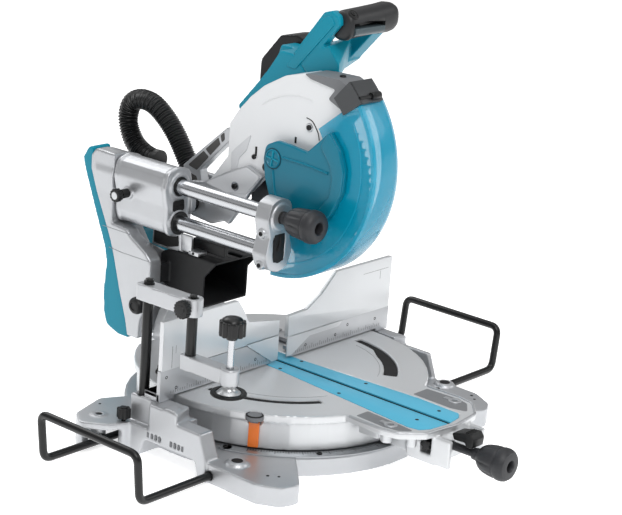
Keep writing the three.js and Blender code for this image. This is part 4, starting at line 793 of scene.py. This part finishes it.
bm = cad_copy("head_arm")
cast(bm, "head_arm_casting", "cast", "head", ("head_arm",), voxel=1.5, smooth=4, keep=0.34)
bm = B()       # painted shade: darker plates for the sunk panels of the beam and for the shaded column below it
def beam(t, f):
    a = (221 - 91 * t, 279 + 82 * t); b = (187 - 58 * t, 273 + 68 * t)
    return (a[0] + (b[0] - a[0]) * f, a[1] + (b[1] - a[1]) * f)
for t0, t1 in ((0.06, 0.44), (0.49, 0.80), (0.85, 0.94)):
    prism(bm, "x", rounded([beam(t0, 0.18) + (2,), beam(t1, 0.18) + (2,), beam(t1, 0.80) + (2,), beam(t0, 0.80) + (2,)]), -20.5, -19.6)
prism(bm, "x", rounded([(216, 273, 3), (190, 268, 3), (184, 250, 3), (196, 226, 3), (208, 240, 6), (212, 258, 3)]), -20.5, -19.6)
finish(bm, "head_arm_panel_shade", "arm_panel_painted_shade", "head", ())

bm = cad_copy("blade_case")
cast(bm, "case_shell", "case", "head", ("blade_case",), voxel=1.4, smooth=5, keep=0.3)

# features on the case's left face
bm = B()
sweep(bm, pathx(-24.1, [(a, b) for a, b in arc2((BY, BZ), 128, 52, 100, 40)]), 0.9, 8)
finish(bm, "case_bead", "case", "head", (), smooth=60)
bm = B()
prism(bm, "x", rounded([(158, 267, 3), (112, 291, 3), (71, 311, 5), (41, 301, 4), (67, 269, 4), (112, 262, 6)]), -35.6, -33.4, 0.8, 2)
finish(bm, "case_bracket", "plate", "head", ())
bm = B()
prism(bm, "x", rounded([(113, 325, 2), (106, 333, 2), (73, 363, 2), (82, 334, 4), (96, 319, 4), (100, 299, 3), (112, 296, 3)]), -25.2, -23.6, 0.6, 2)
finish(bm, "case_pad", "plate", "head", ())
bm = B()
lathe(bm, [(0, 0), (7.5, 0), (7.5, 1.2), (0, 1.2)], (-35.6, 91, 276), (-1, 0, 0), 32)
lathe(bm, [(0, 0), (7, 0), (7, 0.8), (6.2, 1.4), (0, 1.4)], (-24, -43, 397), (-1, 0, 0), 32)
finish(bm, "case_washers", "steel", "head", ())
bm = B()
screw(bm, (-36.4, 91, 276), (-1, 0, 0), 4.6, 3.0)
screw(bm, (-25.2, -43, 397), (-1, 0, 0), 4.4, 1.8)
screw(bm, (-24.2, 65, 328), (-1, 0, 0), 4.0, 2.4)
box(bm, -25.2, -24, 60, 63.4, 330, 345, 0.4)
screw(bm, (-24.2, -72, 369), (-1, 0, 0), 2.6, 1.4)
rod(bm, (-24, 36, 318), (-27, 36, 318), 3.2, seg=20)
lathe(bm, [(0, 0), (5.6, 0), (6.4, 0.8), (6.4, 3.2), (5.6, 4), (0, 4)], (-26.6, 36, 318), (-1, 0, 0), 36)
finish(bm, "case_hardware", "black", "head", ())
bm = B()   # slots and shadows pressed into the case
sweep(bm, catmull([(-24.2, a, b) for a, b in [(-36, 411), (-47, 408), (-55, 400), (-61, 391), (-64, 381)]], 6), 0.8, 8)
box(bm, -24.3, -23.2, -19, -15, 367, 377, 0.2)
finish(bm, "case_slots", "dark", "head", ())

bm = cad_copy("motor_housing")
cast(bm, "motor_shell", "teal", "head", ("motor_housing",), voxel=1.8, smooth=6, keep=0.32)
bm = cad_copy("motor_end_cap")
cast(bm, "motor_cap", "black", "head", ("motor_end_cap",), voxel=1.6, smooth=7, keep=0.34)
bm = B()
for k in range(6):
    box(bm, 149.6, 150.3, 84 + 11 * k, 90 + 11 * k, 425 + 3 * abs(k - 3), 486 - 3 * abs(k - 3))
for k in range(5):
    box(bm, 100 + 9 * k, 104 + 9 * k, 166.4, 167.6, 424, 448)
finish(bm, "motor_vents", "dark", "head", ())

bm = cad_copy("handle_frame")
rod(bm, (28, -34, 556), (40, -34, 556), 10, seg=24)
cast(bm, "handle_strut", "teal", "head", ("handle_frame",), voxel=1.5, smooth=7, keep=0.34)
bm = B()
prism(bm, "x", rounded([(57, 468, 5), (-15, 558, 6), (-28, 562, 6), (-37, 550, 5), (35, 468, 5)], 5), 24.8, 27.5, 1.4, 3)
finish(bm, "handle_leg_bar", "teal", "head", (), smooth=40)
bm = B()       # grip: a rounded bar across the top of the loop
rings, seg = [], 40
prof = [(36.2, -40, 547, 12, 14), (37.2, -40, 547, 17, 19), (40, -40, 547.2, 20, 22.4), (44.6, -40, 547.5, 20.6, 22.8), (46.2, -40, 547.6, 20.8, 23), (50, -40, 547.8, 21, 23.2), (80, -40, 549.5, 20.4, 23), (119, -40, 551.5, 20, 23.2), (120.4, -40, 551.6, 20, 23.2), (140, -40, 552.7, 20, 24), (150, -40.4, 553, 19, 22.4), (156.4, -41, 553.2, 16, 19), (160.4, -41.6, 553.3, 11.6, 14.4), (162.2, -42, 553.3, 6, 8)]
for x, y, z, a, b in prof:
    rings.append([bm.verts.new((x, y + a * math.copysign(abs(cos(2 * pi * k / seg)) ** 0.8, cos(2 * pi * k / seg)), z + b * math.copysign(abs(sin(2 * pi * k / seg)) ** 0.8, sin(2 * pi * k / seg)))) for k in range(seg)])
for A, B_ in zip(rings, rings[1:]):
    for k in range(seg):
        bm.faces.new((A[k], A[(k + 1) % seg], B_[(k + 1) % seg], B_[k]))
bm.faces.new(rings[0]); bm.faces.new(rings[-1])
bmesh.ops.recalc_face_normals(bm, faces=bm.faces)
for v in bm.verts:        # the underside is hollowed for the trigger
    if 46 < v.co.x < 119.5 and v.co.z < 550.6 and v.co.y < -41.5: v.co.y = -41.5
finish(bm, "grip_shell", "grip", "head", ("handle_grip",), smooth=50)
bm = B()
lathe(bm, [(5.6, 0), (9.4, 0), (9.4, 1.6), (8.4, 2.6), (6.4, 2.6), (5.6, 1.6), (5.6, 0)], (48, -53.0, 565.2), (0, -0.6, 0.8), 32)
finish(bm, "lock_off_recess", "dark", "head", (), smooth=45)
bm = B()
prism(bm, "x", rounded([(-44.2, 545, 1), (-44.2, 536, 2), (-57, 532, 4), (-63, 537, 4), (-62, 545, 2)], 5), 46.8, 118.2, 1.6, 3)
finish(bm, "trigger_body", "trig", "trigger_body", ("trigger",))
bm = B()
lathe(bm, [(0, 0), (5, 0), (5, 9), (4.4, 10.4), (3, 11.2), (0, 11.6)], (48, -47.4, 560.2), (0, -0.6, 0.8), 32)
finish(bm, "lock_off_body", "black", "lock_off", ("lock_off_button",))

# grey cap and bar on top of the case
bm = B()
prism(bm, "x", rounded([(-26, 478.5, 2), (-40, 472, 4), (-90, 465, 3), (-77, 448, 4), (-115, 431.5, 3), (-134, 457, 4), (-124.5, 469.5, 6), (-97, 481.5, 5), (-60, 480.8)], 4), -27, 22, 2.0, 3)
finish(bm, "case_top_cap", "midgrey", "head", ())
bm = B()
lathe(bm, [(0, 0), (5, 0), (5, 3), (4.4, 4), (2.6, 4), (2.4, 2.2), (0, 2.2)], (-5, -85, 480), (0, 0, 1), 28)
finish(bm, "case_cap_screw", "black", "head", ())

# motor armature, arbor and blade
bm = B()
rod(bm, (36, 88, 448), (140, 88, 448), 6, seg=24)
prism(bm, "x", lobed(88, 448, 20, 2.4, 16, 6), 64, 124, 1, 2)
prism(bm, "x", lobed(88, 448, 9, 2.2, 8, 4), 36, 48)
finish(bm, "armature_body", "copper", "armature", ("motor_armature",))
bm = B()
N = 60
outer = []
for i in range(N):
    t = -2 * pi * i / N
    s = 2 * pi / N
    for rr, f in ((BR, 0.0), (BR - 0.9, 0.20), (BR - 5.5, 0.30), (BR - 6.6, 0.52), (BR - 5.0, 0.75), (BR - 3.8, 0.93)):
        outer.append((rr, t - s * f))
loops = []
for x, inside in ((-0.9, False), (-0.9, True), (0.9, True), (0.9, False)):
    loops.append([bm.verts.new((x, BY + (12.5 if inside else rr) * cos(t), BZ + (12.5 if inside else rr) * sin(t))) for rr, t in outer])
for A, B_ in zip(loops, loops[1:] + loops[:1]):
    for k in range(len(A)):
        bm.faces.new((A[k], A[(k + 1) % len(A)], B_[(k + 1) % len(A)], B_[k]))
bmesh.ops.recalc_face_normals(bm, faces=bm.faces)
finish(bm, "blade_disc", "blade", "spindle", ("saw_blade",), smooth=30)
bm = B()
for i in range(N):
    t = 2 * pi * i / N
    s = 2 * pi / N
    pts = [(BY + rr * cos(t - s * f), BZ + rr * sin(t - s * f)) for rr, f in ((BR, 0.0), (BR - 0.8, 0.16), (BR - 5.2, 0.22), (BR - 5.4, 0.02))]
    prism(bm, "x", pts, -1.2, 1.2)
finish(bm, "blade_teeth", "tooth", "spindle", (), smooth=30)
bm = B()
rod(bm, (-4.2, BY, BZ), (50, BY, BZ), 12, seg=40)
rod(bm, (1.3, BY, BZ), (8, BY, BZ), 24, seg=48, ch=0.8)
prism(bm, "x", lobed(BY, BZ, 20.5, 2.2, 24, 4), 34, 48)
finish(bm, "arbor_body", "steel", "spindle", ("arbor_shaft",))
bm = B()
lathe(bm, [(12.4, 0), (24, 0), (24, 5), (22.5, 6.7), (12, 6.7), (12, 3.2), (12.4, 3.2), (12.4, 0)], (-1.3, BY, BZ), (-1, 0, 0), 48)
finish(bm, "flange_body", "steel", "spindle", ("outer_flange",))
bm = B()
prism(bm, "x", [(BY + 10 * cos(radians(60 * k)), BZ + 10 * sin(radians(60 * k))) for k in range(6)], -14, -8.3, 0.8, 2)
rod(bm, (-8.4, BY, BZ), (-4.6, BY, BZ), 4, seg=20)
finish(bm, "arbor_bolt_body", "blacksteel", "spindle", ("arbor_bolt",))

# ------------------------------------------------------------------ guard
bm = B()
A0, A1 = 141, 270
sector(bm, [(98, -34.4), (180, -34.4), (185.5, -33.2), (188.4, -30.4), (189, -27), (189, 22), (188, 24.4), (158, 24.4), (158, 22.6), (186.4, 22.6), (186.6, -27), (185.6, -30.2), (183.6, -31.6), (180, -32.2), (98, -32.2)], A0, A1, 96)
sector(bm, [(12, -34.4), (98.5, -34.4), (98.5, -32.2), (12, -32.2)], 180, A1, 48)
finish(bm, "guard_shell", "guard", "guard", ("lower_guard",), smooth=30)
bm = B()
sector(bm, [(183.5, -34.9), (189, -34.9), (189.2, -33.8), (189.2, -28), (188.9, -28), (188.6, -33.6), (183.5, -34.2)], A0, A1, 96)
sector(bm, [(164, -35.2), (166.4, -35.2), (166.4, -34.2), (164, -34.2)], A0 + 8, A1 - 2, 80)
finish(bm, "guard_bead", "guardrim", "guard", (), smooth=40)

cover = rounded([(29, 336, 16), (26, 358, 14), (4, 369, 12), (-20, 368, 4), (-57, 364, 4), (-99, 404, 4), (-122, 379, 14), (-133, 349, 20), (-131, 314, 20), (-114, 280, 16), (-97, 257, 10), (-50, 254, 14), (-6, 268, 12), (14, 282, 10), (24, 306, 12)], 8)
bm = B()
prism(bm, "x", cover, -44, -35, 2.6, 4)
finish(bm, "centre_cover_body", "tealdk", "guard", ("centre_cover",), smooth=40)
bm = B()
lathe(bm, [(0, 0), (15, 0), (15, 1.6), (13.6, 3), (12, 3), (11, 1.6), (0, 1.6)], (-43.8, 9, 340), (-1, 0, 0), 48)
finish(bm, "centre_cover_hub", "tealdk", "guard", (), smooth=50)
# painted shade: a dark teal ring in the groove round the hub and a dark disc at its centre
bm = B()
lathe(bm, [(15, 0), (16.6, 0), (16.6, 1), (15, 1), (15, 0)], (-43.8, 9, 340), (-1, 0, 0), 48)
lathe(bm, [(0, 0), (11, 0), (11, 0.3), (0, 0.3)], (-44.8, 9, 340), (-1, 0, 0), 48)
finish(bm, "centre_cover_ring", "tealshade", "guard", (), smooth=50)
bm = B()
for a in (8, 98):
    c, s_ = cos(radians(a)), sin(radians(a))
    q = [(9 + 13 * c - 1.2 * s_, 340 + 13 * s_ + 1.2 * c), (9 + 13 * c + 1.2 * s_, 340 + 13 * s_ - 1.2 * c), (9 - 13 * c + 1.2 * s_, 340 - 13 * s_ - 1.2 * c), (9 - 13 * c - 1.2 * s_, 340 - 13 * s_ + 1.2 * c)]
    prism(bm, "x", q, -47.4, -45.0, 0.4, 2)
finish(bm, "centre_cover_cross", "teal", "guard", (), smooth=50)
bm = B()
sweep(bm, catmull([(-44, -10, 346), (-44, -55, 345), (-44, -102, 341)], 8), 2.4, 12)
sweep(bm, catmull([(-44, 8, 322), (-44, 2, 292), (-44, -6, 274)], 8), 2.2, 12)
prism(bm, "x", rounded([(-99, 404, 3), (-122, 379, 14), (-133, 349, 20), (-131, 314, 20), (-114, 280, 16), (-97, 257, 6), (-84, 268, 4), (-90, 281, 10), (-109, 307, 12), (-112, 333, 14), (-106, 355, 12), (-86, 379, 6)], 6), -47.5, -43.4, 1.6, 3)
finish(bm, "centre_cover_ribs", "tealdk", "guard", (), smooth=50)

bm = B()
t0 = radians(141)
sector(bm, [(156, -39.2), (196, -39.2), (196, -35), (156, -35)], 132.3, 143.4, 10)
sector(bm, [(190.4, -38), (196, -38), (196, 14), (190.4, 14)], 132.3, 143.4, 10)
finish(bm, "guard_bracket", "armgrey", "guard", ("guard_front_bracket",), smooth=40)
bm = B()
yy, zz = GY + 198 * cos(t0), GZ + 198 * sin(t0)
lathe(bm, [(0, 0), (5, 0), (6, 1), (6, 19), (5, 20), (0, 20)], (-12, yy, zz), (1, 0, 0), 32)
rod(bm, (-37, yy + 2, zz - 1), (-9, yy, zz), 2.6, seg=16)
finish(bm, "guard_roller", "black", "guard", (), smooth=45)

# ================================================================== vise
px, py, rx, ry, sx, sy = -265, 45, -262, -44, -261, -123
bm = B()
rod(bm, (px, py, -23), (px, py, 177), 8, seg=36, ch=1)
prism(bm, "z", [(px + 6 * cos(radians(60 * k)), py + 6 * sin(radians(60 * k))) for k in range(6)], 176.5, 180, 0.6, 2)
finish(bm, "vise_post_bar", "blacksteel", "vise", ("vise_post",))
bm = cad_copy("vise_upper_arm")
cast(bm, "vise_upper_link", "cast", "vise", ("vise_upper_arm",), voxel=1.0, smooth=6, keep=0.35)
bm = B()
rod(bm, (rx, ry, 60), (rx, ry, 173), 8, seg=36, ch=1)
prism(bm, "z", [(rx + 6 * cos(radians(60 * k)), ry + 6 * sin(radians(60 * k))) for k in range(6)], 172.5, 177, 0.6, 2)
finish(bm, "vise_rod_bar", "blacksteel", "vise_arm", ("vise_drop_rod",))
bm = B()
rod(bm, (rx - 24, ry, 159), (rx - 8.6, ry, 159), 4, seg=20)
prism(bm, "x", lobed(ry, 159, 14, 1.5, 16, 6), rx - 27, rx - 17, 1.4, 3)
lathe(bm, [(0, 0), (8, 0), (7, 1.4), (0, 1.8)], (rx - 26.8, ry, 159), (-1, 0, 0), 32)
finish(bm, "vise_lock_body", "black", "vise_lock", ("vise_lock_knob",))
bm = cad_copy("vise_lower_arm")
lathe(bm, [(5.6, 64), (14.2, 64), (14.2, 84), (13.2, 86), (5.6, 86), (5.6, 64)], (sx, sy, 0), (0, 0, 1), 40)
cast(bm, "vise_lower_link", "cast", "vise_arm", ("vise_lower_arm",), voxel=1.0, smooth=6, keep=0.35)
bm = B()
lathe(bm, [(20, 0.6), (25, 0.6), (27, 1.6), (27.2, 3.4), (26, 5.2), (22, 5.6), (19, 5.2), (20, 0.6)], (sx, sy, 44), (0, 0, 1), 64)
finish(bm, "vise_foot_ring", "black", "vise_foot_body", ("vise_foot",), smooth=50)
bm = B()
lathe(bm, [(0, 0.9), (20, 0.9), (20.4, 2.4), (18, 5), (13, 8.6), (9.5, 11), (9, 14.2), (5.6, 14.2), (5.6, 9), (0, 9)], (sx, sy, 44), (0, 0, 1), 56)
finish(bm, "vise_foot_dome", "zinc", "vise_foot_body", (), smooth=50)
bm = B()
lathe(bm, [(0, 53.4), (4.4, 53.4), (4.9, 54.2), (4.9, 136), (4.4, 136.5), (0, 136.5)], (sx, sy, 0), (0, 0, 1), 32)
finish(bm, "vise_thread", "chrome", "vise_screw_body", (), smooth=30)
bm = B()
prism(bm, "z", lobed(sx, sy, 20, 2.4, 12), 136, 159, 2.4, 4)
lathe(bm, [(0, 0), (16.5, 0), (15.6, 3), (13, 5.4), (8, 7), (0, 7.4)], (sx, sy, 157.4), (0, 0, 1), 48)
lathe(bm, [(0, 0), (8, 0), (9, 6), (0, 6)], (sx, sy, 130.5), (0, 0, 1), 32)
finish(bm, "vise_knob", "blacksteel", "vise_screw_body", ("vise_screw",), smooth=40)

# ================================================================== floor and light
bm = B()
for v in ((-14000, -14000), (14000, -14000), (14000, 14000), (-14000, 14000)):
    bm.verts.new((v[0], v[1], -TABLE_H - 0.6))
bm.faces.new(bm.verts)
for v in bm.verts: v.co = P(*v.co)
me = bpy.data.meshes.new("floor"); bm.to_mesh(me); bm.free()
floor = bpy.data.objects.new("floor", me); scene.collection.objects.link(floor)
fm = bpy.data.materials.new("floor_white"); fm.use_nodes = True
fb = fm.node_tree.nodes["Principled BSDF"]
fb.inputs["Base Color"].default_value = (0.93, 0.93, 0.93, 1); fb.inputs["Roughness"].default_value = 0.8
fb.inputs["Specular IOR Level"].default_value = 0.1
fb.inputs["Emission Color"].default_value = (1, 1, 1, 1); fb.inputs["Emission Strength"].default_value = 0.62
me.materials.append(fm)

w = bpy.data.worlds.new("studio"); scene.world = w; w.use_nodes = True
nt = w.node_tree
bg = nt.nodes["Background"]
tc = nt.nodes.new("ShaderNodeTexCoord")
sp = nt.nodes.new("ShaderNodeSeparateXYZ"); nt.links.new(tc.outputs["Generated"], sp.inputs[0])
rp = nt.nodes.new("ShaderNodeValToRGB"); nt.links.new(sp.outputs[2], rp.inputs[0])
e = rp.color_ramp.elements
e[0].position = 0.0; e[0].color = (0.70, 0.70, 0.71, 1)
e[1].position = 1.0; e[1].color = (1.0, 1.0, 1.0, 1)
for p_, c_ in ((0.04, 0.12), (0.16, 0.20), (0.28, 0.85), (0.46, 0.95), (0.62, 0.50), (0.80, 0.70)):
    q = e.new(p_); q.color = (c_, c_, c_ * 1.005, 1)
nt.links.new(rp.outputs[0], bg.inputs["Color"])
bg.inputs["Strength"].default_value = 0.62

def area(name, loc, target, size, power, col=(1, 1, 1)):
    l = bpy.data.lights.new(name, "AREA"); l.energy = power; l.color = col
    l.shape = "RECTANGLE"; l.size = size[0]; l.size_y = size[1]
    o = bpy.data.objects.new(name, l); scene.collection.objects.link(o)
    o.location = loc
    o.rotation_euler = (Vector(target) - Vector(loc)).to_track_quat("-Z", "Y").to_euler()
    return o
area("key", (-1.2, -1.6, 2.4), (0, 0, 0.25), (1.4, 1.4), 38)
area("fill", (1.8, -1.6, 1.6), (0, 0, 0.3), (1.2, 1.2), 9)
area("back", (0.3, 2.2, 2.2), (0, 0, 0.3), (2.0, 1.2), 20)
area("top", (0, 0, 3.0), (0, 0, 0), (2.5, 2.5), 18)

scene.view_settings.view_transform = "Standard"
scene.view_settings.exposure = 0.0
